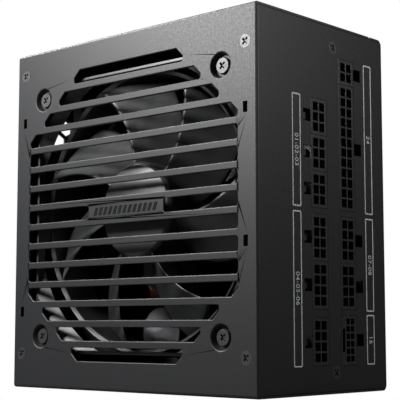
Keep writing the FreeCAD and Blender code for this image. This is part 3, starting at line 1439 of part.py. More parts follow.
def make_line_filter():
    """Chokes, capacitors and protection between the inlet and the rectifier."""
    cores, windings, films, discs = [], [], [], []
    film_x = board_left + s.film_inset
    for number in range(2):
        core, winding = toroid(f"filter_{number}", board_left + s.choke_inset,
                               s.choke_low + s.choke_step * number, s.choke_ring,
                               s.choke_core, s.choke_tall)
        cores.append(core)
        windings.append(winding)
        films.append(on_board(f"x_capacitor_{number}", film_x, s.film_low + s.film_step * number,
                              s.film_width, s.film_long, s.film_tall))
        discs.append(disc_part(f"y_capacitor_{number}", film_x, s.disc_radius,
                               from_low(s.disc_low + s.disc_step * number, s.disc_thick)))
    keep("line_filter_cores", group("line_filter_cores", *cores))
    keep("line_filter_windings", group("line_filter_windings", *windings))
    keep("x_capacitors", group("x_capacitors", *films))
    keep("y_capacitors", group("y_capacitors", *discs))
    keep("mains_fuse", rod("mains_fuse", "z",
                           (board_left + s.fuse_inset, board_face - s.fuse_radius),
                           s.fuse_radius, from_low(s.fuse_low, s.fuse_long)))
    guard_x = board_left + s.guard_inset
    keep("surge_varistor", disc_part("surge_varistor", guard_x, s.guard_radius,
                                     from_low(s.varistor_low, s.varistor_thick)))
    keep("inrush_thermistor", disc_part("inrush_thermistor", guard_x, s.guard_radius,
                                        from_low(s.thermistor_low, s.thermistor_thick)))


def heatsink(name, x, z_span, tall, fins):
    """A plate that stands on the board, and a comb of fins on its socket side."""
    plate = box(f"{name}_plate", (x - s.sink_half, x + s.sink_half),
                (board_face - tall, board_face), z_span)
    parts = [plate]
    pitch = (z_span[1] - z_span[0] - s.fin_thick) / (fins - 1)
    for number in range(fins):
        parts.append(box(f"{name}_fin_{number}", (x, x + s.fin_reach),
                         (board_face - tall, board_face - tall / 2),
                         from_low(z_span[0] + pitch * number, s.fin_thick)))
    return join(name, *parts)


def make_primary_side():
    """Rectifier, boost converter, bulk capacitors and their heatsink."""
    keep("primary_heatsink", heatsink(
        "primary_heatsink", s.primary_x, from_low(s.primary_low, s.primary_long),
        s.primary_tall, PRIMARY_FINS))
    seat = s.primary_x - s.sink_half
    chip_top = board_face - s.chip_foot
    chips = []
    for number in range(3):
        chips.append(box(f"transistor_{number}", (seat - s.chip_thick, seat),
                         (chip_top - s.chip_tall, chip_top),
                         from_low(s.chip_low + s.chip_step * number, s.chip_long)))
    keep("power_transistors", group("power_transistors", *chips))
    bridge_top = board_face - s.bridge_foot
    keep("bridge_rectifier", box("bridge_rectifier", (seat - s.bridge_thick, seat),
                                 (bridge_top - s.chip_tall, bridge_top),
                                 from_low(s.bridge_low, s.bridge_long)))
    cans = []
    for number in range(2):
        cans.append(can_on_board(f"bulk_can_{number}", -s.bulk_x,
                                 s.bulk_low + s.bulk_step * number, s.bulk_radius, s.bulk_tall))
    keep("bulk_capacitors", group("bulk_capacitors", *cans))
    core, winding = toroid("boost", -s.boost_x, s.boost_z, s.boost_ring, s.boost_core,
                           s.boost_tall)
    keep("boost_choke_core", core)
    keep("boost_choke_winding", winding)


def transformer(name, x, z, width, height):
    """A ferrite frame round a coil: two legs, a post and two yokes, as tall as it is wide."""
    leg = width / LEG_SHARE
    tall = width
    deep = height * CORE_SHARE / 2
    core = []
    for number, side in enumerate((-1, 1)):
        middle = x + (width - leg) / 2 * side
        core.append(on_board(f"{name}_leg_{number}", middle, z, leg, deep * 2, tall))
    across, along_z = (x - width / 2, x + width / 2), (z - deep, z + deep)
    yoke = box(f"{name}_yoke", across, (board_face - tall, board_face - tall + leg), along_z)
    foot = box(f"{name}_foot", across, (board_face - leg, board_face), along_z)
    stem = (x - leg / 2, x + leg / 2)
    post = box(f"{name}_post", stem, (board_face - tall, board_face), along_z)
    frame = join(f"{name}_core", *core, yoke, foot, post)
    block = box(f"{name}_block", (x - width / 2 + leg, x + width / 2 - leg),
                (board_face - tall + leg, board_face - leg), (z - height / 2, z + height / 2))
    window = box(f"{name}_window", stem, (board_face - tall, board_face), along_z)
    return frame, cut(f"{name}_coil", block, window)


def make_secondary_side():
    """Transformers, synchronous rectifier heatsink, output capacitors and converters."""
    frame, coil = transformer("main_transformer", s.main_x, s.main_z, s.main_width, s.main_long)
    keep("main_transformer_core", frame)
    keep("main_transformer_coil", coil)
    frame, coil = transformer("standby", s.standby_x, s.standby_z, s.standby_width,
                              s.standby_long)
    keep("standby_transformer_core", frame)
    keep("standby_transformer_coil", coil)
    keep("secondary_heatsink", heatsink(
        "secondary_heatsink", s.secondary_x, from_low(s.secondary_low, s.secondary_long),
        s.secondary_tall, SECONDARY_FINS))
    cans = []
    for number in range(4):
        cans.append(can_on_board(f"output_can_{number}", s.output_x,
                                 s.output_low + s.output_step * number, s.output_radius,
                                 s.output_tall))
    keep("output_capacitors", group("output_capacitors", *cans))
    boards, chokes = [], []
    choke_x = s.converter_x + s.board / 2
    coil_top = board_face - s.coil_foot
    for number in range(2):
        z = s.converter_low + s.converter_step * number
        boards.append(on_board(f"converter_{number}", s.converter_x, z, s.board,
                               s.converter_long, s.converter_tall))
        chokes.append(box(f"converter_choke_{number}", from_low(choke_x, s.coil_thick),
                          (coil_top - s.coil_tall, coil_top),
                          (z - s.coil_long / 2, z + s.coil_long / 2)))
    keep("converter_boards", group("converter_boards", *boards))
    keep("converter_chokes", group("converter_chokes", *chokes))
    keep("controller_board", box("controller_board", from_low(-s.control_start, s.control_long),
                                 (board_face - s.control_tall, board_face),
                                 from_low(s.control_z, s.board)))


def make_busbars():
    """Copper bars from the main board to the socket board."""
    bars = []
    foot_x = board_right - s.busbar_inset
    crest = board_face - s.busbar_foot
    for number in range(4):
        width = from_low(s.busbar_low + s.busbar_step * number, s.busbar_width)
        foot = box(f"busbar_foot_{number}", from_low(foot_x, s.busbar_thick),
                   (crest, board_face), width)
        arm = box(f"busbar_arm_{number}", (foot_x, socket_board_back),
                  from_low(crest, s.busbar_thick), width)
        bars.append(join(f"busbar_{number}", foot, arm))
    keep("output_busbars", group("output_busbars", *bars))


# ---------------------------------------------------------------- internal leads


def lead(name, points, radius):
    """A round lead along straight runs joined by the largest tangent arcs that fit."""
    spots = [FreeCAD.Vector(*[as_size(size).value for size in point]) for point in points]
    edges, length, start = [], 0.0, spots[0]
    tightest = None
    for before, corner, after in zip(spots, spots[1:], spots[2:]):
        shorter = min((corner - before).Length, (after - corner).Length)
        inn, out = (before - corner).normalize(), (after - corner).normalize()
        half = inn.getAngle(out) / 2
        reach = 0.45 * shorter
        bend = reach * math.tan(half)
        enter, leave = corner + inn * reach, corner + out * reach
        centre = corner + (inn + out).normalize() * (bend / math.sin(half))
        crown = centre + (corner - centre).normalize() * bend
        edges.append(Part.LineSegment(start, enter).toShape())
        edges.append(Part.Arc(enter, crown, leave).toShape())
        length += (enter - start).Length + bend * (math.pi - 2 * half)
        start = leave
        tightest = bend if tightest is None else min(tightest, bend)
    edges.append(Part.LineSegment(start, spots[-1]).toShape())
    length += (spots[-1] - start).Length
    ring = Part.makeCircle(radius.value, spots[0], spots[1] - spots[0])
    solid = Part.Wire(edges).makePipeShell([Part.Wire(ring)], True, False)
    expected = math.pi * radius.value ** 2 * length
    print(f"{name}: {length:.0f} mm, tightest bend {tightest:.1f} mm,"
          f" volume {solid.Volume / expected:.4f} of its section times its length")
    if abs(solid.Volume / expected - 1) > 0.01:
        raise ValueError(f"{name} is not its section times its length")
    thing = document.addObject("Part::Feature", name)
    thing.Shape = solid
    return thing


def make_leads(board_screws):
    """Mains leads from the inlet to the switch and the board, earth lead, and fan lead."""
    tab_end = inlet_back + s.tab_reach
    switch_end = switch_back + s.tab_reach
    live, neutral, earth = contact_places
    low_a, high_a, low_b, high_b = switch_tab_places
    board_x = board_left + 24
    keep("live_leads", group(
        "live_leads",
        lead("live_to_switch", [
            (tab_end, live[0], live[1]), (tab_end + 8, live[0], live[1]),
            (tab_end + 9, live[0] - 1, live[1] - 14), (switch_end + 9, high_a[0], high_a[1]),
            (switch_end, high_a[0], high_a[1])], s.lead_radius),
        lead("live_to_board", [
            (switch_end, low_a[0], low_a[1]), (switch_end + 9, low_a[0], low_a[1]),
            (board_x + 3, low_a[0] + 8, low_a[1] + 2), (board_x + 4, board_face - 8, low_a[1] + 3),
            (board_x + 4, board_face, low_a[1] + 3)], s.lead_radius)))
    keep("neutral_leads", group(
        "neutral_leads",
        lead("neutral_to_switch", [
            (tab_end, neutral[0], neutral[1]), (tab_end + 9, neutral[0], neutral[1]),
            (tab_end + 14, neutral[0] - 4, neutral[1] - 16),
            (tab_end + 13, high_b[0] - 1, high_b[1] + 14), (switch_end + 10, high_b[0], high_b[1]),
            (switch_end, high_b[0], high_b[1])], s.lead_radius),
        lead("neutral_to_board", [
            (switch_end, low_b[0], low_b[1]), (switch_end + 8, low_b[0], low_b[1]),
            (board_x - 3, low_b[0] + 7, low_b[1] - 2), (board_x - 2, board_face - 8, low_b[1] - 3),
            (board_x - 2, board_face, low_b[1] - 3)], s.lead_radius)))

    ring_y, ring_z = earth_place
    ring = tube("earth_ring", "x", (ring_y, ring_z), s.ring_radius, s.small_shank,
                (mains_inside, mains_inside + s.spade_thick))
    barrel_x = mains_inside + s.barrel_radius + s.spade_thick / 2
    barrel = rod("earth_barrel", "y", (barrel_x, ring_z), s.barrel_radius,
                 (ring_y + s.barrel_start, ring_y + s.barrel_end))
    keep("earth_terminal", join("earth_terminal", ring, barrel))
    earth_screw = pan_screw("earth_screw", "x", earth_place, mains_inside + s.spade_thick, -1,
                            s.spade_thick + s.metal)
    keep("board_screws", group("board_screws", *board_screws, earth_screw))
    keep("earth_lead", lead("earth_lead", [
        (tab_end, earth[0], earth[1]), (tab_end + 6.5, earth[0], earth[1]),
        (tab_end + 6.5, earth[0] + 2, earth[1] + 13), (tab_end + 1, earth[0] + 4, ring_z - 4),
        (tab_end - 11, earth[0] + 5, ring_z), (barrel_x, ring_y + 19, ring_z),
        (barrel_x, ring_y + s.barrel_end, ring_z)], s.lead_radius))

    header_x, header_z = board_left + s.header_inset, top - s.header_drop
    keep("fan_header", on_board("fan_header", header_x, header_z, s.header_width,
                                s.header_long, s.header_tall))
    plug_foot = board_face - s.header_tall
    plug_top = plug_foot - s.plug_tall
    keep("fan_plug", box("fan_plug", (header_x - s.plug_width / 2, header_x + s.plug_width / 2),
                         (plug_top, plug_foot),
                         (header_z - s.plug_long / 2, header_z + s.plug_long / 2)))
    strut_exit = math.radians(s.fan_lead_exit.value)
    rear = fan_back + s.fan_lead_radius * 1.5
    inner, outer = motor_base - 4, fan_bore - 6
    first = (inner * math.cos(strut_exit), rear, middle_z + inner * math.sin(strut_exit))
    second = (outer * math.cos(strut_exit), rear, middle_z + outer * math.sin(strut_exit))
    keep("fan_lead", lead("fan_lead", [
        (first[0], fan_back, first[2]), (first[0], rear + 1.5, first[2]),
        second, (second[0] - 12, rear + 1, second[2] + 5), (header_x + 5, rear + 8, header_z + 2),
        (header_x, plug_top - 8, header_z), (header_x, plug_top, header_z)], s.fan_lead_radius))


# ---------------------------------------------------------------- build, check and write


def check_everything():
    """Stop if any feature failed, cut nothing, or left an empty or invalid shape."""
    for thing in document.Objects:
        states = set(thing.State) & {"Invalid", "Error"}
        if states:
            raise ValueError(f"{thing.Label} is {', '.join(states)}")
        if thing.TypeId == "PartDesign::Pocket":
            removed = thing.BaseFeature.Shape.Volume - thing.Shape.Volume
            if removed < 1e-6:
                raise ValueError(f"{thing.Label} cuts nothing")
    for node, thing in made.items():
        if thing.Shape.isNull() or not thing.Shape.isValid():
            raise ValueError(f"{node} has no valid shape")
        if not thing.Shape.Solids:
            raise ValueError(f"{node} has no solid")


def main():
    make_fan_cover()
    make_tray()
    make_flat_screws()
    make_rating_label()
    make_fan_frame()
    make_impeller()
    make_motor()
    make_fan_screws()
    make_sockets()
    make_socket_pins()
    make_socket_board()
    make_inlet()
    make_switch()
    board_screws = make_main_board()
    make_line_filter()
    make_primary_side()
    make_secondary_side()
    make_busbars()
    make_leads(board_screws)
    document.recompute()
    check_everything()
    os.makedirs("parts", exist_ok=True)
    for node, thing in made.items():
        thing.Shape.exportStep(f"parts/{node}.step")
    print(f"{len(made)} sub-parts")


main()
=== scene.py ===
# %% [markdown]
# # A desktop power supply, finished for a studio view
#
# The exact shape of this power supply comes from a CAD model. It is loaded here as a fixed
# frame. What Blender adds is everything that makes metal look like coated metal and plastic
# like plastic: rounded edges that catch the light, smooth fan blades, printed marks and
# finishes with a grain. All lengths are in metres, so `MM` turns millimetres into them.

# %% Load the frame
import json
import math

import bmesh
import bpy
from mathutils import Matrix, Vector


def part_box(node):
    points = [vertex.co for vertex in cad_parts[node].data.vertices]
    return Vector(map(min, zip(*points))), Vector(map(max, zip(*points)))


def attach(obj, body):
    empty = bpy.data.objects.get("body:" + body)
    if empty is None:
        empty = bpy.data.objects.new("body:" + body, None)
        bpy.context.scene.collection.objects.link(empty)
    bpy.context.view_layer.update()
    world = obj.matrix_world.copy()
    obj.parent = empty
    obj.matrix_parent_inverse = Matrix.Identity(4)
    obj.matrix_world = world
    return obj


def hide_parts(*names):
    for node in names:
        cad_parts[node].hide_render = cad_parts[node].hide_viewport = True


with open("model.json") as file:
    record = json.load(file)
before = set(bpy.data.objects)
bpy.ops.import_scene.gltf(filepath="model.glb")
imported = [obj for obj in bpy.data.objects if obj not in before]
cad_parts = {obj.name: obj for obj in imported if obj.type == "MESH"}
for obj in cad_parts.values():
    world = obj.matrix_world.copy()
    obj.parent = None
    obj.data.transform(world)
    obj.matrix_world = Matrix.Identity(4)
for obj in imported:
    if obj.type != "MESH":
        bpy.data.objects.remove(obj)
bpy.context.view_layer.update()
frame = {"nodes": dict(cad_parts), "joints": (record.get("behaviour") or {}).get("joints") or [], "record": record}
MM = 0.001

# %% [markdown]
# ## The camera
#
# A long lens keeps the box's edges nearly parallel. The camera stands a little above the
# floor and looks slightly up, so that the case looks tall. A camera with no turn looks down,
# so the first turn lifts it to the horizon, less the elevation, and the last one walks it
# round the object.

# %% Place the camera
CAMERA_PLACE = Vector((343.6, -376.1, 26.3)) * MM
AZIMUTH = math.radians(42.16)
ELEVATION = math.radians(-6.26)
FOCAL_LENGTH = 104.6
SENSOR_WIDTH = 36.0

camera_data = bpy.data.cameras.new("studio_camera")
camera_data.lens = FOCAL_LENGTH
camera_data.sensor_width = SENSOR_WIDTH
camera = bpy.data.objects.new("studio_camera", camera_data)
camera.location = CAMERA_PLACE
camera.rotation_euler = (math.pi / 2 - ELEVATION, 0, AZIMUTH)
bpy.context.collection.objects.link(camera)
bpy.context.scene.camera = camera
print("camera:", round(CAMERA_PLACE.length / MM), "mm away")

# %% [markdown]
# ## Node trees as sums
#
# Materials and Geometry Nodes are both trees of small nodes, and most of those nodes only
# add or multiply. It reads better to write the sum itself. `Wire` holds one output socket
# and answers sums, powers and comparisons by adding a Math node. Python asks the right-hand value
# when the left one is a plain number, so the reflected forms (`__radd__` and so on) make
# `1 - mask` work as well. `Graph.node` makes any other node from its type, its settings and
# the values of its sockets.

# %% Wires and graphs
class Wire:
    """An output socket that takes part in sums."""

    def __init__(self, graph, socket):
        self.graph = graph
        self.socket = socket

    def maths(self, operation, *values):
        return self.graph.node("ShaderNodeMath", {"operation": operation}, values)

    def __add__(self, other):
        return self.maths("ADD", self, other)

    def __radd__(self, other):
        return self.maths("ADD", other, self)

    def __sub__(self, other):
        return self.maths("SUBTRACT", self, other)

    def __rsub__(self, other):
        return self.maths("SUBTRACT", other, self)

    def __mul__(self, other):
        return self.maths("MULTIPLY", self, other)

    def __rmul__(self, other):
        return self.maths("MULTIPLY", other, self)

    def __truediv__(self, other):
        return self.maths("DIVIDE", self, other)

    def __pow__(self, other):
        return self.maths("POWER", self, other)

    def __lt__(self, other):
        return self.maths("LESS_THAN", self, other)

    def __gt__(self, other):
        return self.maths("GREATER_THAN", self, other)

    def __abs__(self):
        return self.maths("ABSOLUTE", self)


class Graph:
    """A node tree, and the one method that fills it."""

    def __init__(self, tree):
        self.tree = tree

    def node(self, kind, settings=None, values=(), out=0):
        """A node's output. values is a list in socket order, or a dict by name or number."""
        made = self.tree.nodes.new(kind)
        for key, setting in (settings or {}).items():
            setattr(made, key, setting)
        pairs = values.items() if isinstance(values, dict) else enumerate(values)
        for key, value in pairs:
            self.feed(made.inputs[key], value)
        return Wire(self, made.outputs[out])

    def feed(self, socket, value):
        """Link a wire, or several, into a socket, or set it."""
        if isinstance(value, list):
            for wire in value:
                self.feed(socket, wire)
        elif isinstance(value, Wire):
            self.tree.links.new(value.socket, socket)
        else:
            socket.default_value = value


print("tree tools ready")

# %% [markdown]
# ## Finishes
#
# A `Finish` is a material with a head start: it reads Object coordinates, so a pattern keeps
# its real size and stays put when a part moves. `grain` gives noise of a size in
# millimetres, `mix` blends two colours by a mask, and `relief` turns a height into Bump.
# Real surfaces are never one flat value, so every finish varies its colour and roughness a
# little, and carries a grain.

# %% The Finish class
class Finish(Graph):
    """A material whose patterns are sized in millimetres."""

    def __init__(self, name):
        self.material = bpy.data.materials.new(name)
        self.material.use_nodes = True
        super().__init__(self.material.node_tree)
        self.shader = self.tree.nodes["Principled BSDF"]
        self.place = self.node("ShaderNodeTexCoord", out="Object")

    def axes(self):
        """The x, y and z of the place, in millimetres."""
        parts = [self.node("ShaderNodeSeparateXYZ", values=[self.place], out=n) for n in range(3)]
        return [part * (1 / MM) for part in parts]

    def grain(self, size, detail=2.0, stretch=(1, 1, 1)):
        """Noise from 0 to 1 whose features are about this many millimetres wide."""
        spot = self.node("ShaderNodeMapping", values={"Vector": self.place, "Scale": stretch})
        return self.node("ShaderNodeTexNoise", values={
            "Vector": spot, "Scale": 1 / (size * MM), "Detail": detail})

    def sharpen(self, wire, low, high):
        """Map the span from low to high onto 0 to 1, and hold it there."""
        return self.node("ShaderNodeMapRange", {"clamp": True}, [wire, low, high, 0.0, 1.0])

    def mix(self, mask, first, second):
        """One colour where the mask is 0 and the other where it is 1."""
        values = {0: mask, 6: first, 7: second}
        return self.node("ShaderNodeMix", {"data_type": "RGBA"}, values, out=2)

    def set(self, **sockets):
        """Set or link sockets of the shader, named with underscores for spaces."""
        for name, value in sockets.items():
            self.feed(self.shader.inputs[name.replace("_", " ")], value)
        return self

    def relief(self, height, depth):
        """Bump of a height from 0 to 1, this many millimetres deep."""
        return self.set(Normal=self.node("ShaderNodeBump", values={
            "Height": height, "Distance": depth * MM, "Strength": 1.0}))


def shade(colour, factor):
    """An opaque colour, lighter or darker by a factor."""
    return (*[channel * factor for channel in colour], 1.0)


print("finish tools ready")

# %% [markdown]
# ## Coated steel
#
# The case is sheet steel with a matt black powder coat. Powder melts into a skin that isn't
# quite flat: under a lamp it shows a fine orange peel. Two noises make it, a fine one for
# the grain and a wider one for the slow waves, and the roughness follows them faintly.
# Moulded plastic and rubber are the same idea with other numbers, so one function makes
# them all.

# %% Coats and mouldings
def skin(name, colour, rough, grain, depth, waves=6.0, mottle=0.12, specular=0.5):
    """A painted or moulded surface: fine grain on slow waves."""
    finish = Finish(name)
    fine = finish.grain(grain)
    wide = finish.grain(grain * waves, 1.0)
    tone = finish.sharpen(fine * 0.35 + wide * 0.65, 0.3, 0.7)
    finish.set(
        Base_Color=finish.mix(tone, shade(colour, 1 - mottle), shade(colour, 1 + mottle)),
        Roughness=rough + (tone - 0.5) * 0.1, Specular_IOR_Level=specular)
    finish.relief(fine * 0.7 + wide * 0.3, depth)
    return finish


COATED_STEEL = skin("powder_coat", (0.009, 0.0093, 0.010), 0.5, 0.35, 0.006, waves=3.0,
                    mottle=0.06, specular=0.2)
FAN_PLASTIC = skin("fan_plastic", (0.014, 0.0145, 0.015), 0.42, 0.6, 0.004, specular=0.34)
SOCKET_PLASTIC = skin("socket_nylon", (0.008, 0.008, 0.0085), 0.42, 0.3, 0.01, specular=0.4)
SWITCH_PLASTIC = skin("polished_plastic", (0.010, 0.010, 0.011), 0.22, 0.8, 0.004)
BLACK_SCREW = skin("black_oxide", (0.014, 0.014, 0.015), 0.46, 0.25, 0.015, specular=0.34)
CHIP_EPOXY = skin("moulded_epoxy", (0.03, 0.03, 0.032), 0.55, 0.2, 0.02)
CERAMIC_DISC = skin("dipped_epoxy", (0.06, 0.16, 0.42), 0.28, 1.2, 0.03)
FILM_CASE = skin("film_capacitor_case", (0.05, 0.05, 0.055), 0.38, 0.5, 0.01)
CONNECTOR_NYLON = skin("natural_nylon", (0.78, 0.75, 0.66), 0.42, 0.4, 0.01)
BLACK_LEAD = skin("black_insulation", (0.02, 0.02, 0.02), 0.4, 0.5, 0.01)
BROWN_LEAD = skin("brown_insulation", (0.20, 0.08, 0.035), 0.36, 0.5, 0.01)
BLUE_LEAD = skin("blue_insulation", (0.035, 0.13, 0.42), 0.36, 0.5, 0.01)
POWDER_CORE = skin("coated_iron_core", (0.02, 0.05, 0.035), 0.34, 0.7, 0.03)
FERRITE = skin("sintered_ferrite", (0.055, 0.053, 0.055), 0.5, 0.25, 0.03)
MAGNET = skin("bonded_magnet", (0.10, 0.095, 0.09), 0.6, 0.3, 0.03)
INSULATING_FILM = skin("insulating_film", (0.72, 0.72, 0.68), 0.3, 2.0, 0.02)
WHITE_INK = skin("white_ink", (0.26, 0.265, 0.27), 0.6, 0.3, 0.004)
DARK_INK = skin("dark_inlay", (0.004, 0.004, 0.0045), 0.7, 0.3, 0.004, specular=0.05)
print("coats and mouldings:", len(bpy.data.materials))

# %% [markdown]
# ## Bare metals
#
# Rolled, drawn and plated metal shows fine lines along the way it was worked. Noise that is
# stretched along one axis gives those lines. They go into the roughness, which draws out the
# highlights, and a little into the bump.

# %% Metals
def worked_metal(name, colour, rough, stretch=(1, 1, 14), tarnish=0.2):
    """Metal with fine lines along the axis whose stretch is the smallest."""
    finish = Finish(name)
    lines = finish.grain(1.4, 3.0, stretch)
    cloud = finish.grain(5.0, 2.0)
    dull = finish.sharpen(cloud, 0.35, 0.7)
    finish.set(
        Base_Color=finish.mix(dull, shade(colour, 1.0), shade(colour, 1 - tarnish)),
        Metallic=1.0, Roughness=rough + lines * 0.14 + dull * 0.08)
    return finish.relief(lines, 0.006)


PLATED_STEEL = worked_metal("zinc_plate", (0.62, 0.63, 0.62), 0.24)
TIN = worked_metal("tin_plate", (0.72, 0.71, 0.68), 0.26)
GOLD = worked_metal("gold_flash", (0.78, 0.60, 0.27), 0.24)
BRONZE = worked_metal("sintered_bronze", (0.52, 0.36, 0.18), 0.42)
BLACK_ALUMINIUM = worked_metal("black_anodised_aluminium", (0.05, 0.05, 0.052), 0.38,
                               (14, 14, 1))
COPPER = worked_metal("lacquered_copper", (0.26, 0.105, 0.05), 0.34, (1, 1, 1))
print("metals ready")

# %% [markdown]
# ## Finishes with a drawing in them
#
# Some finishes carry a pattern that belongs to the thing itself: tracks on a circuit board,
# the bare top of a capacitor, the bands of tape round a transformer, the two colours of an
# earth lead. Each is a mask, a value that is 0 or 1 from place to place, and the mask picks
# between two colours.

# %% Boards, capacitors, tapes and the earth lead
PAD_PITCH = 4.2 * MM
PAD_SHARE = 0.16
BARE_TOP = 0.35


def circuit_board():
    """Solder mask over copper tracks, with tinned pads."""
    finish = Finish("circuit_board")
    tracks = finish.node("ShaderNodeTexBrick", {"offset": 0.37, "squash": 1.6}, {
        "Vector": finish.node("ShaderNodeMapping", values={
            "Vector": finish.place, "Rotation": (math.pi / 2, 0, 0)}),
        "Scale": 90.0, "Mortar Size": 0.012}, out="Fac")
    cells = finish.node("ShaderNodeTexVoronoi", values={
        "Vector": finish.place, "Scale": 1 / PAD_PITCH}, out="Distance")
    pads = cells < PAD_SHARE
    mask = finish.mix(tracks, (0.006, 0.010, 0.009, 1), (0.014, 0.022, 0.019, 1))
    finish.set(Base_Color=finish.mix(pads, mask, (0.45, 0.45, 0.42, 1)),
               Roughness=0.32 + pads * 0.1)
    return finish.relief(tracks * 0.4 + pads * 0.6, 0.04)


def capacitor_can(name, sleeve, top):
    """A printed sleeve with a pale stripe, and a bare top."""
    finish = Finish(name)
    bare = finish.axes()[1] < top + BARE_TOP
    stripe = finish.sharpen(finish.grain(9.0, 0.0, (1, 0.02, 1)), 0.62, 0.64)
    colour = finish.mix(stripe, (*sleeve, 1), shade(sleeve, 4.0))
    fine = finish.grain(0.8)
    finish.set(Base_Color=finish.mix(bare, colour, (0.20, 0.20, 0.21, 1)),
               Metallic=bare * 0.9, Roughness=0.28 + fine * 0.12)
    return finish.relief(fine, 0.01)


def banded(name, light, dark, pitch):
    """Turns of tape, each edge a thin darker line."""
    finish = Finish(name)
    wraps = finish.axes()[1] / pitch
    edge = abs(wraps.maths("FRACT", wraps) - 0.5) > 0.42
    finish.set(Base_Color=finish.mix(edge, (*light, 1), (*dark, 1)),
               Roughness=0.34 + finish.grain(1.5) * 0.1)
    return finish.relief(1 - edge, 0.05)


def earth_insulation():
    """Green with a yellow stripe that winds along the lead."""
    finish = Finish("earth_insulation")
    x, y, z = finish.axes()
    turn = (x + y + z) / 5.0
    stripe = turn.maths("FRACT", turn) < 0.45
    finish.set(Base_Color=finish.mix(stripe, (0.05, 0.26, 0.06, 1), (0.72, 0.60, 0.05, 1)),
               Roughness=0.36 + finish.grain(0.5) * 0.08)
    return finish.relief(finish.grain(0.5), 0.01)


def fuse_tube(ends, cap_length):
    """A ceramic tube between two metal caps."""
    finish = Finish("fuse_tube")
    z = finish.axes()[2]
    middle, half = sum(ends) / 2, (ends[1] - ends[0]) / 2
    caps = abs(z - middle) > half - cap_length
    cloud = finish.grain(2.0)
    finish.set(Base_Color=finish.mix(caps, (0.76, 0.73, 0.66, 1), (0.6, 0.6, 0.58, 1)),
               Metallic=caps * 1.0, Roughness=0.3 + cloud * 0.12)
    return finish.relief(cloud, 0.02)


def across(node, axis):
    """Lowest and highest place of a node along an axis, in millimetres."""
    low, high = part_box(node)
    return low[axis] / MM, high[axis] / MM


BOARD = circuit_board()
BULK_CAN = capacitor_can("bulk_capacitor_sleeve", (0.02, 0.022, 0.035),
                         across("bulk_capacitors", 1)[0])
OUTPUT_CAN = capacitor_can("output_capacitor_sleeve", (0.02, 0.05, 0.09),
                           across("output_capacitors", 1)[0])
TAPE = banded("transformer_tape", (0.10, 0.075, 0.02), (0.05, 0.035, 0.012), pitch=4.5)
EARTH_LEAD = earth_insulation()
FUSE = fuse_tube(across("mains_fuse", 2), cap_length=5.0)
print("drawn finishes ready")

# %% [markdown]
# ## Dress the nodes that keep their CAD shape
#
# Most parts inside the case already have the right shape. Each node carries the name of its
# material slot from the CAD record, so a table from slot to finish dresses them all in one
# loop. A few nodes share a slot but not a look, and a second table names those.

# %% Finishes by slot
BY_SLOT = {
    "coated_steel": COATED_STEEL, "fan_plastic": FAN_PLASTIC,
    "socket_plastic": SOCKET_PLASTIC, "screw_black": BLACK_SCREW,
    "plated_steel": PLATED_STEEL, "tin_contacts": TIN, "gold_contacts": GOLD,
    "copper": COPPER, "board_laminate": BOARD, "ferrite": FERRITE,
    "powder_core": POWDER_CORE, "heatsink_metal": BLACK_ALUMINIUM,
    "capacitor_sleeve": BULK_CAN, "film_case": FILM_CASE, "ceramic_disc": CERAMIC_DISC,
    "chip_epoxy": CHIP_EPOXY, "transformer_tape": TAPE,
    "insulating_film": INSULATING_FILM, "fuse_body": FUSE, "magnet_bond": MAGNET,
    "bearing_bronze": BRONZE, "live_insulation": BROWN_LEAD,
    "neutral_insulation": BLUE_LEAD, "earth_insulation": EARTH_LEAD,
    "fan_insulation": BLACK_LEAD, "connector_nylon": CONNECTOR_NYLON,
    "switch_plastic": SWITCH_PLASTIC, "label_film": INSULATING_FILM,
}
BY_NODE = {"output_capacitors": OUTPUT_CAN}

slot_of = {}
for subpart in frame["record"]["subparts"]:
    slot_of[subpart["node"]] = subpart["material_slot"]
for node, thing in frame["nodes"].items():
    finish = BY_NODE.get(node, BY_SLOT[slot_of[node]])
    for material_slot in thing.material_slots:
        material_slot.material = finish.material
print("dressed:", len(slot_of), "nodes")

# %% [markdown]
# ## Rounded edges
#
# Punched and folded sheet is never perfectly sharp: the coat gathers on its edges, and each
# one draws a thin bright line under the lamps. CAD edges are sharp, so the parts that are
# seen get a rounded copy. The copy's loose triangles are merged, and a Bevel modifier
# rounds the edges whose weight is 1. Edges of sliver triangles keep weight 0, because their
# direction is chance. Smooth shading would now leak from a rounded edge into the long
# triangles of the flat beside it. A Weighted Normal modifier often cures that, but not where
# the triangles are thin, so each corner's normal is worked out from the flat parts that meet
# there, with each part's area squared as its weight. The result is baked into a plain mesh,
# and it stands for the node that it was copied from.

# %% Polish a copy of a node
def as_object(name, mesh):
    """An object at the origin that shows a mesh."""
    thing = bpy.data.objects.new(name, mesh)
    bpy.context.collection.objects.link(thing)
    return thing


def bake(thing):
    """Swap an object with live modifiers for a plain one."""
    graph = bpy.context.evaluated_depsgraph_get()
    mesh = bpy.data.meshes.new_from_object(thing.evaluated_get(graph))
    name = thing.name
    bpy.data.objects.remove(thing)
    return as_object(name, mesh)


def dress(thing, finish, body, slot, *nodes):
    """Give a piece its finish and its body, and the nodes that it stands for. The slot is not used."""
    thing.data.materials.clear()
    thing.data.materials.append(finish.material)
    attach(thing, body)
    if nodes:
        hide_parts(*nodes)
    return thing


def smooth_by_angle(mesh, degrees):
    """Smooth shading, but for edges that turn more than this."""
    mesh.polygons.foreach_set("use_smooth", [True] * len(mesh.polygons))
    mesh.set_sharp_from_angle(angle=math.radians(degrees))


SHARP = 32
MERGE_WITHIN = 0.002 * MM
SLIVER = 0.03 * MM
SAME_PLANE = math.cos(math.radians(0.4))


def breadth(face):
    """How wide a face is across its longest side."""
    return 2 * face.calc_area() / max(edge.calc_length() for edge in face.edges)


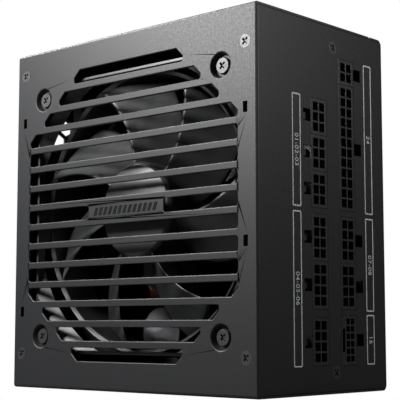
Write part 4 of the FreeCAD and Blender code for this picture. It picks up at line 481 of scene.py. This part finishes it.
def flat_parts(shape):
    """The flat part that each face belongs to, as its normal and its area."""
    part_of = {}
    for start in shape.faces:
        if start in part_of:
            continue
        part = [start]
        part_of[start] = None
        for face in part:
            for edge in face.edges:
                for other in edge.link_faces:
                    if other not in part_of and face.normal.dot(other.normal) > SAME_PLANE:
                        part_of[other] = None
                        part.append(other)
        area = sum(face.calc_area() for face in part)
        normal = sum((face.normal * face.calc_area() for face in part), Vector()).normalized()
        for face in part:
            part_of[face] = (normal.freeze(), area)
    return part_of


def keep_flats_flat(mesh):
    """Normals that stay level on the flat parts, and let the rounded edges meet them."""
    shape = bmesh.new()
    shape.from_mesh(mesh)
    part_of = flat_parts(shape)
    limit = math.cos(math.radians(SHARP))
    corners = []
    for face in shape.faces:
        own = part_of[face][0]
        for corner in face.loops:
            near = {part_of[other] for other in corner.vert.link_faces}
            total = Vector()
            for normal, area in sorted((item for item in near if item[0].dot(own) > limit),
                                       key=lambda item: item[1]):
                total += normal * (area / MM ** 2) ** 2
            corners.append(total.normalized() if total.length > 0 else own)
    shape.free()
    mesh.normals_split_custom_set(corners)


def polish(node, name, width, body="case", segments=3, move=None, pick=None):
    """A copy of a node with its edges, or those that pick takes, rounded by a width in mm."""
    shape = bmesh.new()
    shape.from_mesh(frame["nodes"][node].data)
    bmesh.ops.remove_doubles(shape, verts=shape.verts, dist=MERGE_WITHIN)
    if move:
        for vert in shape.verts:
            vert.co = move(vert.co)
    weight = shape.edges.layers.float.new("bevel_weight_edge")
    for edge in shape.edges:
        turn = edge.calc_face_angle(0.0)
        broad = min(breadth(face) for face in edge.link_faces)
        taken = pick is None or all(pick(vert.co / MM) for vert in edge.verts)
        edge[weight] = float(taken and turn > math.radians(SHARP) and broad > SLIVER)
    mesh = bpy.data.meshes.new(name)
    shape.to_mesh(mesh)
    shape.free()
    smooth_by_angle(mesh, SHARP)
    thing = as_object(name, mesh)
    rounding = thing.modifiers.new("rounding", "BEVEL")
    rounding.width = width * MM
    rounding.segments = segments
    rounding.limit_method = "WEIGHT"
    rounding.use_clamp_overlap = False
    thing = bake(thing)
    keep_flats_flat(thing.data)
    print(f"{name}: {len(thing.data.polygons)} faces")
    return dress(thing, BY_SLOT[slot_of[node]], body, slot_of[node], node)


# %% [markdown]
# ## The case
#
# The slotted fan plate with its flanges is one folded sheet, and the tray with the back
# plate and both panels is another. The printed marks lie on their faces. To leave room for
# the ink inside the real outline, the two printed faces are moved in by the ink's thickness.

# %% Fan plate and tray
INK = 0.03 * MM
plate_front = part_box("fan_cover")[0].y
panel_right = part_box("chassis_tray")[1].x


def lower_plate(place):
    """Move the front face in by the ink's thickness."""
    return Vector((place.x, max(place.y, plate_front + INK), place.z))


def lower_panel(place):
    """Move the socket panel's face in by the ink's thickness."""
    return Vector((min(place.x, panel_right - INK), place.y, place.z))


# the field of the slots and the fan screws, in millimetres
RIM_HALF = 62.5
RIM_LOW, RIM_HIGH = 7.0, 143.0
RIM_DEPTH = 0.2


def slot_rim(place):
    """Is this on the outer face, in the field of the slots and the fan screws?"""
    on_face = place.y < plate_front / MM + RIM_DEPTH
    return on_face and abs(place.x) < RIM_HALF and RIM_LOW < place.z < RIM_HIGH


def no_rim(place):
    """The tray's folds are round already, and its openings are punched clean."""
    return False


polish("fan_cover", "fan_plate_sheet", 0.42, move=lower_plate, pick=slot_rim)
polish("chassis_tray", "tray_sheet", 0.22, move=lower_panel, pick=no_rim)

# %% [markdown]
# ## Screws, sockets and the mains fittings
#
# The same treatment, with finer edges for small mouldings. A socket's thin walls only take
# a tenth of a millimetre.

# %% Small fittings
FITTINGS = [
    # node, name of the rounded copy, width of the edges in millimetres
    ("flat_head_screws", "flat_head_screw_set", 0.12),
    ("fan_screws", "fan_screw_set", 0.18),
    ("fan_frame", "fan_frame_moulding", 0.3),
    ("four_pin_socket", "four_pin_shell", 0.14),
    ("six_pin_sockets", "six_pin_shells", 0.14),
    ("eight_pin_sockets", "eight_pin_shells", 0.14),
    ("twenty_four_pin_socket", "twenty_four_pin_shell", 0.14),
    ("sixteen_pin_socket", "sixteen_pin_shell", 0.1),
    ("inlet_housing", "inlet_shell", 0.3),
    ("switch_housing", "switch_shell", 0.25),
]
for node, name, width in FITTINGS:
    polish(node, name, width, segments=2)

# %% [markdown]
# ## Geometry Nodes, written in Python
#
# What repeats is best made by a rule. A `Recipe` is a Geometry Nodes tree with named
# inputs. `grow` puts it on an object as a modifier and sets each input by its socket's
# identifier, because the name alone isn't the key. Each recipe ends in Realize Instances
# and Set Material, and the grown result is baked to a plain mesh like any other.

# %% The Recipe class
SOCKETS = {int: "NodeSocketInt", float: "NodeSocketFloat", tuple: "NodeSocketVector",
           bpy.types.Object: "NodeSocketObject"}


class Recipe(Graph):
    """A Geometry Nodes tree whose inputs are named sizes."""

    def __init__(self, name, **sizes):
        super().__init__(bpy.data.node_groups.new(name, "GeometryNodeTree"))
        face = self.tree.interface
        face.new_socket(name="Geometry", in_out="OUTPUT", socket_type="NodeSocketGeometry")
        self.keys = {}
        for size, kind in [*sizes.items(), ("finish", bpy.types.Material)]:
            socket_type = SOCKETS.get(kind, "NodeSocketMaterial")
            made = face.new_socket(name=size, in_out="INPUT", socket_type=socket_type)
            self.keys[size] = made.identifier
        self.source = self.tree.nodes.new("NodeGroupInput")

    def size(self, name):
        """The wire of a named input."""
        return Wire(self, self.source.outputs[name])

    def finish_with(self, shape):
        """End the tree: real geometry, with its material."""
        real = self.node("GeometryNodeRealizeInstances", values=[shape])
        dressed = self.node("GeometryNodeSetMaterial", values={
            "Geometry": real, "Material": self.size("finish")})
        end = self.tree.nodes.new("NodeGroupOutput")
        self.tree.links.new(dressed.socket, end.inputs[0])
        return self

    def spot(self, x, y, z):
        """A vector from three values."""
        return self.node("ShaderNodeCombineXYZ", values=[x, y, z])

    def grow(self, name, finish, **sizes):
        """A plain object of what this recipe makes from these sizes."""
        thing = as_object(name, bpy.data.meshes.new(name))
        modifier = thing.modifiers.new("recipe", "NODES")
        modifier.node_group = self.tree
        modifier[self.keys["finish"]] = finish.material
        for size, value in sizes.items():
            modifier[self.keys[size]] = value
        grown = bake(thing)
        print(f"{name}: {len(grown.data.polygons)} faces")
        return grown


# %% [markdown]
# ## The fan wheel
#
# Every blade is the same twisted sheet, so the wheel follows a rule: seven copies, evenly
# turned. One blade starts as a flat grid of 1 by 1. Along the first axis the grid runs out
# from the hub to the tip, and along the second one from the front edge to the back edge.
# Set Position bends it: the radius grows along the span, the angle falls along the chord,
# and the front edge sweeps forward. A second grid, set back by the thickness, closes it. The
# thickness falls to nothing at the borders, so both sheets share their edge points there.

# %% The blade recipe
SHEET_POINTS = 25
CAMBER = 0.3
SWEEP_POWER = 1.25
TIP_POWER = 24


def swept_wheel():
    """Swept blades about an axis along Y."""
    recipe = Recipe("swept_wheel", count=int, hub=float, tip=float, depth=float,
                    thickness=float, lead=float, sweep=float, root_arc=float,
                    tip_arc=float, centre=tuple)
    place = recipe.node("GeometryNodeInputPosition")
    run = [recipe.node("ShaderNodeSeparateXYZ", values=[place], out=n) + 0.5 for n in (0, 1)]
    span, chord = run
    radius = recipe.size("hub") + (recipe.size("tip") - recipe.size("hub")) * span
    arc = recipe.size("root_arc") + (recipe.size("tip_arc") - recipe.size("root_arc")) * span
    angle = recipe.size("lead") + recipe.size("sweep") * span ** SWEEP_POWER - arc * chord
    cosine, sine = angle.maths("COSINE", angle), angle.maths("SINE", angle)
    bulge = chord * (1 - chord)
    back = recipe.size("depth") * (chord + bulge * CAMBER)
    rounding = (4 * bulge) ** 0.4 * (1 - span ** TIP_POWER) ** 0.5
    sheets = []
    for side in (-0.5, 0.5):
        grid = recipe.node("GeometryNodeMeshGrid", values=[
            1.0, 1.0, SHEET_POINTS, SHEET_POINTS])
        y = back + recipe.size("thickness") * rounding * side
        spot = recipe.spot(radius * cosine, y, radius * sine)
        sheet = recipe.node("GeometryNodeSetPosition", values={
            "Geometry": grid, "Position": spot})
        if side > 0:
            sheet = recipe.node("GeometryNodeFlipFaces", values=[sheet])
        sheets.append(sheet)
    joined = recipe.node("GeometryNodeJoinGeometry", values=[sheets])
    blade = recipe.node("GeometryNodeMergeByDistance", values={
        "Geometry": joined, "Distance": 0.01 * MM})
    soft = recipe.node("GeometryNodeSetShadeSmooth", values=[blade])
    points = recipe.node("GeometryNodePoints", values=[recipe.size("count")])
    turn = recipe.node("GeometryNodeInputIndex") * math.tau / recipe.size("count")
    blades = recipe.node("GeometryNodeInstanceOnPoints", values={
        "Points": points, "Instance": soft, "Rotation": recipe.spot(0.0, turn, 0.0)})
    moved = recipe.node("GeometryNodeTransform", values={
        "Geometry": blades, "Translation": recipe.size("centre")})
    return recipe.finish_with(moved)


WHEEL = swept_wheel()
print("wheel recipe:", len(WHEEL.tree.nodes), "nodes")

# %% [markdown]
# The hub is turned rather than moulded by a rule: a profile, drawn as pairs of radius and
# depth, goes round the axis. `turned` makes it ring by ring, which keeps its faces pointing
# outwards, and a point on the axis closes each end.

# %% Grow the fan wheel
TURNED_SHARP = 40


def turned(name, profile, centre, steps=96):
    """A closed shape from pairs of radius and depth, turned about an axis along Y."""
    shape = bmesh.new()
    rings = []
    for radius, depth in profile:
        if radius == 0:
            rings.append([shape.verts.new(centre + Vector((0, depth, 0)))])
            continue
        ring = []
        for step in range(steps):
            angle = math.tau * step / steps
            offset = Vector((radius * math.cos(angle), depth, radius * math.sin(angle)))
            ring.append(shape.verts.new(centre + offset))
        rings.append(ring)
    for inner, outer in zip(rings, rings[1:]):
        for step in range(steps):
            here, there = step, (step + 1) % steps
            corners = [inner[here % len(inner)], outer[here % len(outer)],
                       outer[there % len(outer)], inner[there % len(inner)]]
            shape.faces.new(list(dict.fromkeys(corners)))
    mesh = bpy.data.meshes.new(name)
    bmesh.ops.recalc_face_normals(shape, faces=shape.faces)
    shape.to_mesh(mesh)
    shape.free()
    smooth_by_angle(mesh, TURNED_SHARP)
    return as_object(name, mesh)


wheel_low, wheel_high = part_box("fan_impeller")
hub_depth = wheel_high.y - wheel_low.y
HUB_RADIUS = 20.5 * MM
HUB_WALL = 1.5 * MM
HUB_BEVEL = 1.4 * MM
HUB_EASE = 0.12 * MM
HUB_RIM_IN = 0.25 * MM
HUB_RIM_DROP = 0.6 * MM
BLADE_TIP = wheel_high.x
BLADE_SET_BACK = 0.4 * MM
wheel_centre = Vector((0, wheel_low.y, (wheel_low.z + wheel_high.z) / 2))
fan_axis = Vector(frame["joints"][0]["pos_m"])
wheel_centre.z = fan_axis.z

blades = WHEEL.grow(
    "fan_blades", FAN_PLASTIC, count=7, hub=HUB_RADIUS - HUB_WALL, tip=BLADE_TIP,
    depth=14.5 * MM, thickness=1.5 * MM, lead=math.radians(92.5), sweep=math.radians(20),
    root_arc=math.radians(40), tip_arc=math.radians(29),
    centre=wheel_centre + Vector((0, BLADE_SET_BACK, 0)))
dress(blades, FAN_PLASTIC, "impeller", "fan_plastic")
HUB_PROFILE = [
    (0, 0), (HUB_RADIUS - HUB_BEVEL - 0.3 * MM, 0), (HUB_RADIUS - HUB_BEVEL, HUB_EASE),
    (HUB_RADIUS - HUB_RIM_IN, HUB_BEVEL), (HUB_RADIUS, HUB_BEVEL + HUB_RIM_DROP),
    (HUB_RADIUS, hub_depth), (HUB_RADIUS - HUB_WALL, hub_depth),
    (HUB_RADIUS - HUB_WALL, HUB_WALL), (0, HUB_WALL),
]
hub = turned("fan_hub", HUB_PROFILE, wheel_centre)
dress(hub, FAN_PLASTIC, "impeller", "fan_plastic", "fan_impeller")

# %% [markdown]
# ## Printed frames on the socket panel
#
# Each group of sockets has a thin white outline beside it, with a caption inside. An outline
# is a path, so a recipe draws it: a rectangle of curve, its corners rounded, and a flat
# profile swept along it. The frames take their heights from the sockets beside them.

# %% The outline recipe
def outline_recipe():
    """A flat line of ink round a rectangle that lies on a face towards +X."""
    recipe = Recipe("ink_outline", width=float, height=float, line=float, ink=float,
                    round=float, centre=tuple)
    path = recipe.node("GeometryNodeCurvePrimitiveQuadrilateral", values={
        "Width": recipe.size("width"), "Height": recipe.size("height")})
    path = recipe.node("GeometryNodeFilletCurve", {"mode": "POLY"}, {
        "Curve": path, "Count": 4, "Radius": recipe.size("round")})
    profile = recipe.node("GeometryNodeCurvePrimitiveQuadrilateral", values={
        "Width": recipe.size("line"), "Height": recipe.size("ink")})
    strip = recipe.node("GeometryNodeCurveToMesh", values={
        "Curve": path, "Profile Curve": profile})
    on_panel = recipe.node("GeometryNodeTransform", values={
        "Geometry": strip, "Translation": recipe.size("centre"),
        "Rotation": (math.pi / 2, 0, math.pi / 2)})
    return recipe.finish_with(on_panel)


OUTLINE = outline_recipe()
LINE = 0.62 * MM
CORNER_ROUND = 0.45 * MM
NEAR_SHIFT, NEAR_WIDE = 6.9 * MM, 5.5 * MM
FAR_SHIFT, FAR_WIDE = 7.5 * MM, 5.7 * MM
near_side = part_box("six_pin_sockets")[0].y
far_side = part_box("twenty_four_pin_socket")[1].y
FRAME_MARGIN = 0.4 * MM
FRAME_GAP = 2.0 * MM
sixteen_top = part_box("sixteen_pin_socket")[1].z
eight_low, eight_high = [corner.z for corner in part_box("eight_pin_sockets")]
NEAR_FRAMES = [
    (*[corner.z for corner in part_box("six_pin_sockets")], "01-02-03"),
    (eight_low, eight_high, "04-05-06"),
]
FAR_FRAMES = [
    (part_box("twenty_four_pin_socket")[0].z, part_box("four_pin_socket")[1].z, "24"),
    (sixteen_top + FRAME_GAP, eight_high, "07-08"),
    (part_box("sixteen_pin_socket")[0].z, sixteen_top, "16"),
]
captions = []
for column, frames, middle_y, width in (
        ("near", NEAR_FRAMES, near_side - NEAR_SHIFT, NEAR_WIDE),
        ("far", FAR_FRAMES, far_side + FAR_SHIFT, FAR_WIDE)):
    for number, (low, high, words) in enumerate(frames):
        centre = Vector((panel_right - INK / 2, middle_y, (low + high) / 2))
        ring = OUTLINE.grow(
            f"{column}_frame_{number}", WHITE_INK, width=width - LINE,
            height=high - low + 2 * FRAME_MARGIN - LINE, line=LINE, ink=INK,
            round=CORNER_ROUND, centre=centre)
        dress(ring, WHITE_INK, "case", "coated_steel")
        captions.append((f"{column}_caption_{number}", words, centre))

# %% [markdown]
# ## Captions
#
# Lettering is kept to plain numbers. A text object is made a mesh first, and its place is
# then worked into the mesh, so the object stays at the origin. A turn is written as the
# three directions that the text's own right, up and front point to.

# %% Numbers on the panel
FACES = {
    # right, up and outward direction of text on each face
    "socket_panel": ((0, 0, -1), (0, 1, 0), (1, 0, 0)),
    "back_plate": ((-1, 0, 0), (0, 0, 1), (0, 1, 0)),
}


CAPTION_TALL, FIGURE_TALL = 2.3 * MM, 2.6 * MM
DIGIT_SHARE = 0.69
LETTER_SPACING = 1.08


def lettering(name, words, face, centre, tall, finish, slot):
    """Centred numbers on a face, this tall."""
    text = bpy.data.curves.new(name, "FONT")
    text.body = words
    text.size = tall / DIGIT_SHARE
    text.align_x, text.align_y = "CENTER", "CENTER"
    text.extrude = INK / 2
    text.space_character = LETTER_SPACING
    thing = bpy.data.objects.new(name, text)
    bpy.context.collection.objects.link(thing)
    mesh_thing = bake(thing)
    turn = Matrix([Vector(way) for way in FACES[face]]).transposed().to_4x4()
    mesh_thing.data.transform(Matrix.Translation(centre) @ turn)
    return dress(mesh_thing, finish, "case", slot)


for name, words, centre in captions:
    lettering(name, words, "socket_panel", centre, CAPTION_TALL, WHITE_INK, "coated_steel")
print("captions:", len(captions))

# %% [markdown]
# ## The mark on the fan plate
#
# The unbroken bar in the middle of the plate carries a simple pattern of slanted strokes,
# darker than the coat. One stroke is a small mesh, and a recipe sets it out along a line.

# %% Slanted strokes
def stroke_recipe():
    """Copies of one stroke along X."""
    recipe = Recipe("stroke_row", stroke=bpy.types.Object, count=int, pitch=float,
                    centre=tuple)
    stroke = recipe.node("GeometryNodeObjectInfo", values=[recipe.size("stroke")],
                         out="Geometry")
    points = recipe.node("GeometryNodePoints", values=[recipe.size("count")])
    number = recipe.node("GeometryNodeInputIndex") - (recipe.size("count") - 1) / 2.0
    row = recipe.node("GeometryNodeSetPosition", values={
        "Geometry": points, "Position": recipe.spot(number * recipe.size("pitch"), 0.0, 0.0)})
    strokes = recipe.node("GeometryNodeInstanceOnPoints", values={
        "Points": row, "Instance": stroke})
    moved = recipe.node("GeometryNodeTransform", values={
        "Geometry": strokes, "Translation": recipe.size("centre")})
    return recipe.finish_with(moved)


def slab(name, outline, thick):
    """A flat slab from an outline in X and Z, its front face towards -Y."""
    shape = bmesh.new()
    front = [shape.verts.new((x, -thick / 2, z)) for x, z in outline]
    back = [shape.verts.new((x, thick / 2, z)) for x, z in outline]
    shape.faces.new(front)
    shape.faces.new(back[::-1])
    for here in range(len(outline)):
        there = (here + 1) % len(outline)
        shape.faces.new([front[there], front[here], back[here], back[there]])
    bmesh.ops.recalc_face_normals(shape, faces=shape.faces)
    mesh = bpy.data.meshes.new(name)
    shape.to_mesh(mesh)
    shape.free()
    return as_object(name, mesh)


STROKE_TALL = 3.4 * MM
STROKE_WIDE = 1.9 * MM
STROKE_SLANT = 1.3 * MM
half_wide, half_slant, half_tall = STROKE_WIDE / 2, STROKE_SLANT / 2, STROKE_TALL / 2
stroke = slab("stroke", [
    (-half_wide - half_slant, -half_tall), (half_wide - half_slant, -half_tall),
    (half_wide + half_slant, half_tall), (-half_wide + half_slant, half_tall)], INK)
mark = stroke_recipe().grow(
    "plate_mark", DARK_INK, stroke=stroke, count=13, pitch=2.9 * MM,
    centre=Vector((0, plate_front + INK / 2, fan_axis.z)))
bpy.data.objects.remove(stroke)
dress(mark, DARK_INK, "case", "coated_steel")

# %% [markdown]
# ## Wound chokes
#
# Copper wire goes round and round an iron ring. The CAD model fills the wire's space with
# solid sectors, and this recipe winds it for real. A straight line of many points is bent
# into a coil: one angle walks round the ring, while a faster one goes round its section. A
# power of one half squares the section's circle, because the ring's own section is square.

# %% The winding recipe
def winding_recipe():
    """Wire wound round part of a ring about an axis along Y."""
    recipe = Recipe("winding", ring=float, wide=float, tall=float, start=float, arc=float,
                    turns=float, wire=float, points=int, centre=tuple)
    line = recipe.node("GeometryNodeCurvePrimitiveLine")
    line = recipe.node("GeometryNodeResampleCurve", values={
        "Curve": line, "Count": recipe.size("points")})
    share = recipe.node("GeometryNodeSplineParameter")
    around = recipe.size("start") + recipe.size("arc") * share
    section = recipe.size("turns") * share * math.tau
    squared = []
    for operation, half in (("COSINE", "wide"), ("SINE", "tall")):
        value = section.maths(operation, section)
        squared.append(value.maths("SIGN", value) * abs(value) ** 0.5 * recipe.size(half))
    radius = recipe.size("ring") + squared[0]
    coil = recipe.node("GeometryNodeSetPosition", values={
        "Geometry": line, "Position": recipe.spot(
            radius * around.maths("COSINE", around), squared[1],
            radius * around.maths("SINE", around))})
    profile = recipe.node("GeometryNodeCurvePrimitiveCircle", values={
        "Resolution": 8, "Radius": recipe.size("wire")})
    tube = recipe.node("GeometryNodeCurveToMesh", values={
        "Curve": coil, "Profile Curve": profile, "Fill Caps": True})
    moved = recipe.node("GeometryNodeTransform", values={
        "Geometry": tube, "Translation": recipe.size("centre")})
    return recipe.finish_with(moved)


WINDING = winding_recipe()
POINTS_PER_TURN = 20


def wind(name, core_low, core_high, hole, wire, turns, starts, arc):
    """Wire on each arc of a ring core that fills this box."""
    centre = (core_low + core_high) / 2
    outer = (core_high.x - core_low.x) / 2
    tall = (core_high.y - core_low.y) / 2
    coils = []
    for number, start in enumerate(starts):
        coils.append(WINDING.grow(
            f"{name}_{number}", COPPER, ring=(outer + hole) / 2,
            wide=(outer - hole) / 2 + wire, tall=tall + wire, start=math.radians(start),
            arc=math.radians(arc), turns=float(turns), wire=wire,
            points=turns * POINTS_PER_TURN, centre=centre))
    return coils


boost_low, boost_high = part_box("boost_choke_core")
boost_coils = wind("boost_choke_wire", boost_low, boost_high, hole=7.5 * MM,
                   wire=0.6 * MM, turns=22, starts=(15, 195), arc=150)
filter_low, filter_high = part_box("line_filter_cores")
ring_size = filter_high.x - filter_low.x
filter_coils = []
for number, low_z in enumerate((filter_low.z, filter_high.z - ring_size)):
    low = Vector((filter_low.x, filter_low.y, low_z))
    high = Vector((filter_high.x, filter_high.y, low_z + ring_size))
    filter_coils += wind(f"line_filter_wire_{number}", low, high, hole=5.0 * MM,
                         wire=0.45 * MM, turns=14, starts=(25, 205), arc=130)
for node, coils in (("boost_choke_winding", boost_coils),
                    ("line_filter_windings", filter_coils)):
    for number, coil in enumerate(coils):
        # the first coil stands for the node
        dress(coil, COPPER, "case", "copper", *([node] if number == 0 else []))

# %% [markdown]
# ## The switch rocker
#
# The rocker carries the two usual marks, a bar for on and a ring for off. They are a mask in
# its finish: the ring is where the distance from its middle is close to a radius, and the
# bar is a small rectangle. The finish moves with the rocker, because it reads the
# rocker's own coordinates.

# %% Rocker with its marks
ROCKER_BLACK = (0.015, 0.015, 0.016)
MARK_GREY = (0.7, 0.7, 0.7)
RING_RADIUS = 1.7
BAR_HALF = 1.9
HALF_LINE = 0.3


def marked_rocker():
    """Polished plastic with a bar and a ring."""
    finish = skin("marked_rocker", ROCKER_BLACK, 0.2, 0.8, 0.004)
    x, y, z = finish.axes()
    low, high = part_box("switch_rocker")
    middle = (low + high) / 2 / MM
    offset = (high.z - low.z) / MM / 4
    ring_z, bar_z = z - (middle.z - offset), z - (middle.z + offset)
    across_y = y - middle.y
    reach = (across_y * across_y + ring_z * ring_z) ** 0.5
    ring = abs(reach - RING_RADIUS) < HALF_LINE
    bar = (abs(across_y) < HALF_LINE) * (abs(bar_z) < BAR_HALF)
    mask = (ring + bar) * (x < middle.x)
    return finish.set(Base_Color=finish.mix(mask, (*ROCKER_BLACK, 1), (*MARK_GREY, 1)))


rocker = polish("switch_rocker", "switch_rocker_cap", 0.3, body="rocker", segments=2)
rocker.data.materials[0] = marked_rocker().material

# %% [markdown]
# ## The rating label
#
# The back plate carries a printed film. It holds a plain table of numbers: rules, made as
# copies of one flat slab, and rows of figures. The film is a little thinner than the CAD
# sheet, to leave room for its print.

# %% Label film and its table
label_low, label_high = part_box("rating_label")
film_face = label_high.y - INK


def thin_film(place):
    """Move the film's face in by the ink's thickness."""
    return Vector((place.x, min(place.y, film_face), place.z))


SILVER_FILM = skin("silver_film", (0.30, 0.30, 0.31), 0.34, 1.6, 0.01)
film = polish("rating_label", "rating_film", 0.04, segments=1, move=thin_film)
film.data.materials[0] = SILVER_FILM.material
COLUMNS, ROWS = 5, 4
TABLE_WIDE, TABLE_TALL = 0.88, 0.5  # shares of the label
cell_wide = (label_high.x - label_low.x) * TABLE_WIDE / COLUMNS
cell_tall = (label_high.z - label_low.z) * TABLE_TALL / ROWS
table_middle = (label_low + label_high) / 2
FIGURES = [
    ["1", "2", "3", "4", "5"],
    ["3.3", "5", "12", "12", "5"],
    ["20", "20", "62", "0.3", "2.5"],
    ["100", "100", "744", "3.6", "12.5"],
]
RULE = 0.3 * MM
rules = slab("rules", [(-0.5, -0.5), (0.5, -0.5), (0.5, 0.5), (-0.5, 0.5)], 1.0)
table = bmesh.new()


def table_spot(right, up):
    """A place on the film, this far from the middle of its table."""
    return Vector((table_middle.x + right, film_face + INK / 2, table_middle.z + up))


def add_rule(middle, wide, ink, tall):
    """Add one flat rule to the table."""
    piece = rules.data.copy()
    piece.transform(Matrix.Translation(middle) @ Matrix.Diagonal((wide, ink, tall, 1)))
    table.from_mesh(piece)


for row in range(ROWS + 1):
    add_rule(table_spot(0, (row - ROWS / 2) * cell_tall), cell_wide * COLUMNS + RULE, INK, RULE)
for column in range(COLUMNS + 1):
    # a little lower than the rows, so that no two faces share a plane
    add_rule(table_spot((column - COLUMNS / 2) * cell_wide, 0), RULE, INK * 0.9, cell_tall * ROWS)
table_mesh = bpy.data.meshes.new("label_rules")
table.to_mesh(table_mesh)
table.free()
bpy.data.objects.remove(rules)
dress(as_object("label_rules", table_mesh), DARK_INK, "case", "label_film")
for row, figures in enumerate(FIGURES):
    for column, figure in enumerate(figures):
        spot = table_spot((COLUMNS / 2 - column - 0.5) * cell_wide,
                          (ROWS / 2 - row - 0.5) * cell_tall)
        lettering(f"label_figure_{row}_{column}", figure, "back_plate", spot, FIGURE_TALL,
                  DARK_INK, "label_film")
print("label cells:", COLUMNS * ROWS)

# %% [markdown]
# ## Floor and light
#
# A white floor, a white background and soft lamps make a plain product picture. Floor and
# background are white to the camera only: to the object the floor is dark grey and the
# background nearly black, or they would flood the inside with light. A black object shows
# little but reflections of its lamps, so their places matter more than their power. The key
# lamp stands front left and high: the fan plate mirrors it best near its upper right corner
# and less and less towards the lower left. A dimmer one on the right does the same for the
# socket panel. A far one on the left lights the slots' lips, and the last the back plate.

# %% Floor
FLOOR_HALF = 6.0
FLOOR_DROP = 0.2 * MM
FLOOR_GREY = 0.12
floor_mesh = bpy.data.meshes.new("studio_floor")
floor_mesh.from_pydata(
    [(-FLOOR_HALF, -FLOOR_HALF, 0), (FLOOR_HALF, -FLOOR_HALF, 0),
     (FLOOR_HALF, FLOOR_HALF, 0), (-FLOOR_HALF, FLOOR_HALF, 0)], [], [(0, 1, 2, 3)])
floor = as_object("studio_floor", floor_mesh)
floor_finish = Finish("pale_floor").set(
    Base_Color=(FLOOR_GREY, FLOOR_GREY, FLOOR_GREY, 1), Roughness=0.9,
    Specular_IOR_Level=0.0)
white = floor_finish.node("ShaderNodeEmission", values={"Color": (1, 1, 1, 1)})
paint = floor_finish.node("ShaderNodeMixShader", values=[
    floor_finish.node("ShaderNodeLightPath", out="Is Camera Ray"),
    Wire(floor_finish, floor_finish.shader.outputs[0]), white])
floor_finish.feed(floor_finish.tree.nodes["Material Output"].inputs["Surface"], paint)
floor_mesh.materials.append(floor_finish.material)
floor.location.z = -FLOOR_DROP

# %% Lamps and background
def lamp(name, place, aim, wide, tall, power):
    """A soft rectangular lamp that faces a point, both in millimetres."""
    data = bpy.data.lights.new(name, "AREA")
    data.shape = "RECTANGLE"
    data.size, data.size_y = wide * MM, tall * MM
    data.energy = power
    thing = bpy.data.objects.new(name, data)
    thing.location = Vector(place) * MM
    way = (Vector(aim) - Vector(place)).normalized()
    thing.rotation_euler = way.to_track_quat("-Z", "Y").to_euler()
    bpy.context.collection.objects.link(thing)


lamp("key_lamp", (-125, -270, 250), (50, -43, 165), 110, 110, 3.7)
lamp("side_lamp", (304, 60, 230), (70, -30, 150), 110, 110, 0.9)
lamp("edge_lamp", (-560, -130, 700), (0, -43, 75), 200, 200, 10.0)
lamp("back_lamp", (-160, 520, 330), (0, 43, 75), 250, 250, 2.5)

BACKGROUND_SEEN = 1.0
BACKGROUND_LIGHT = 0.05
world = bpy.data.worlds.new("studio")
world.use_nodes = True
sky = Graph(world.node_tree)
seen = sky.node("ShaderNodeLightPath", out="Is Camera Ray")
sky.feed(world.node_tree.nodes["Background"].inputs["Color"], (1, 1, 1, 1))
sky.feed(world.node_tree.nodes["Background"].inputs["Strength"],
         BACKGROUND_LIGHT + seen * (BACKGROUND_SEEN - BACKGROUND_LIGHT))
bpy.context.scene.world = world
bpy.context.scene.view_settings.view_transform = "Standard"
print("lamps:", len(bpy.data.lights))
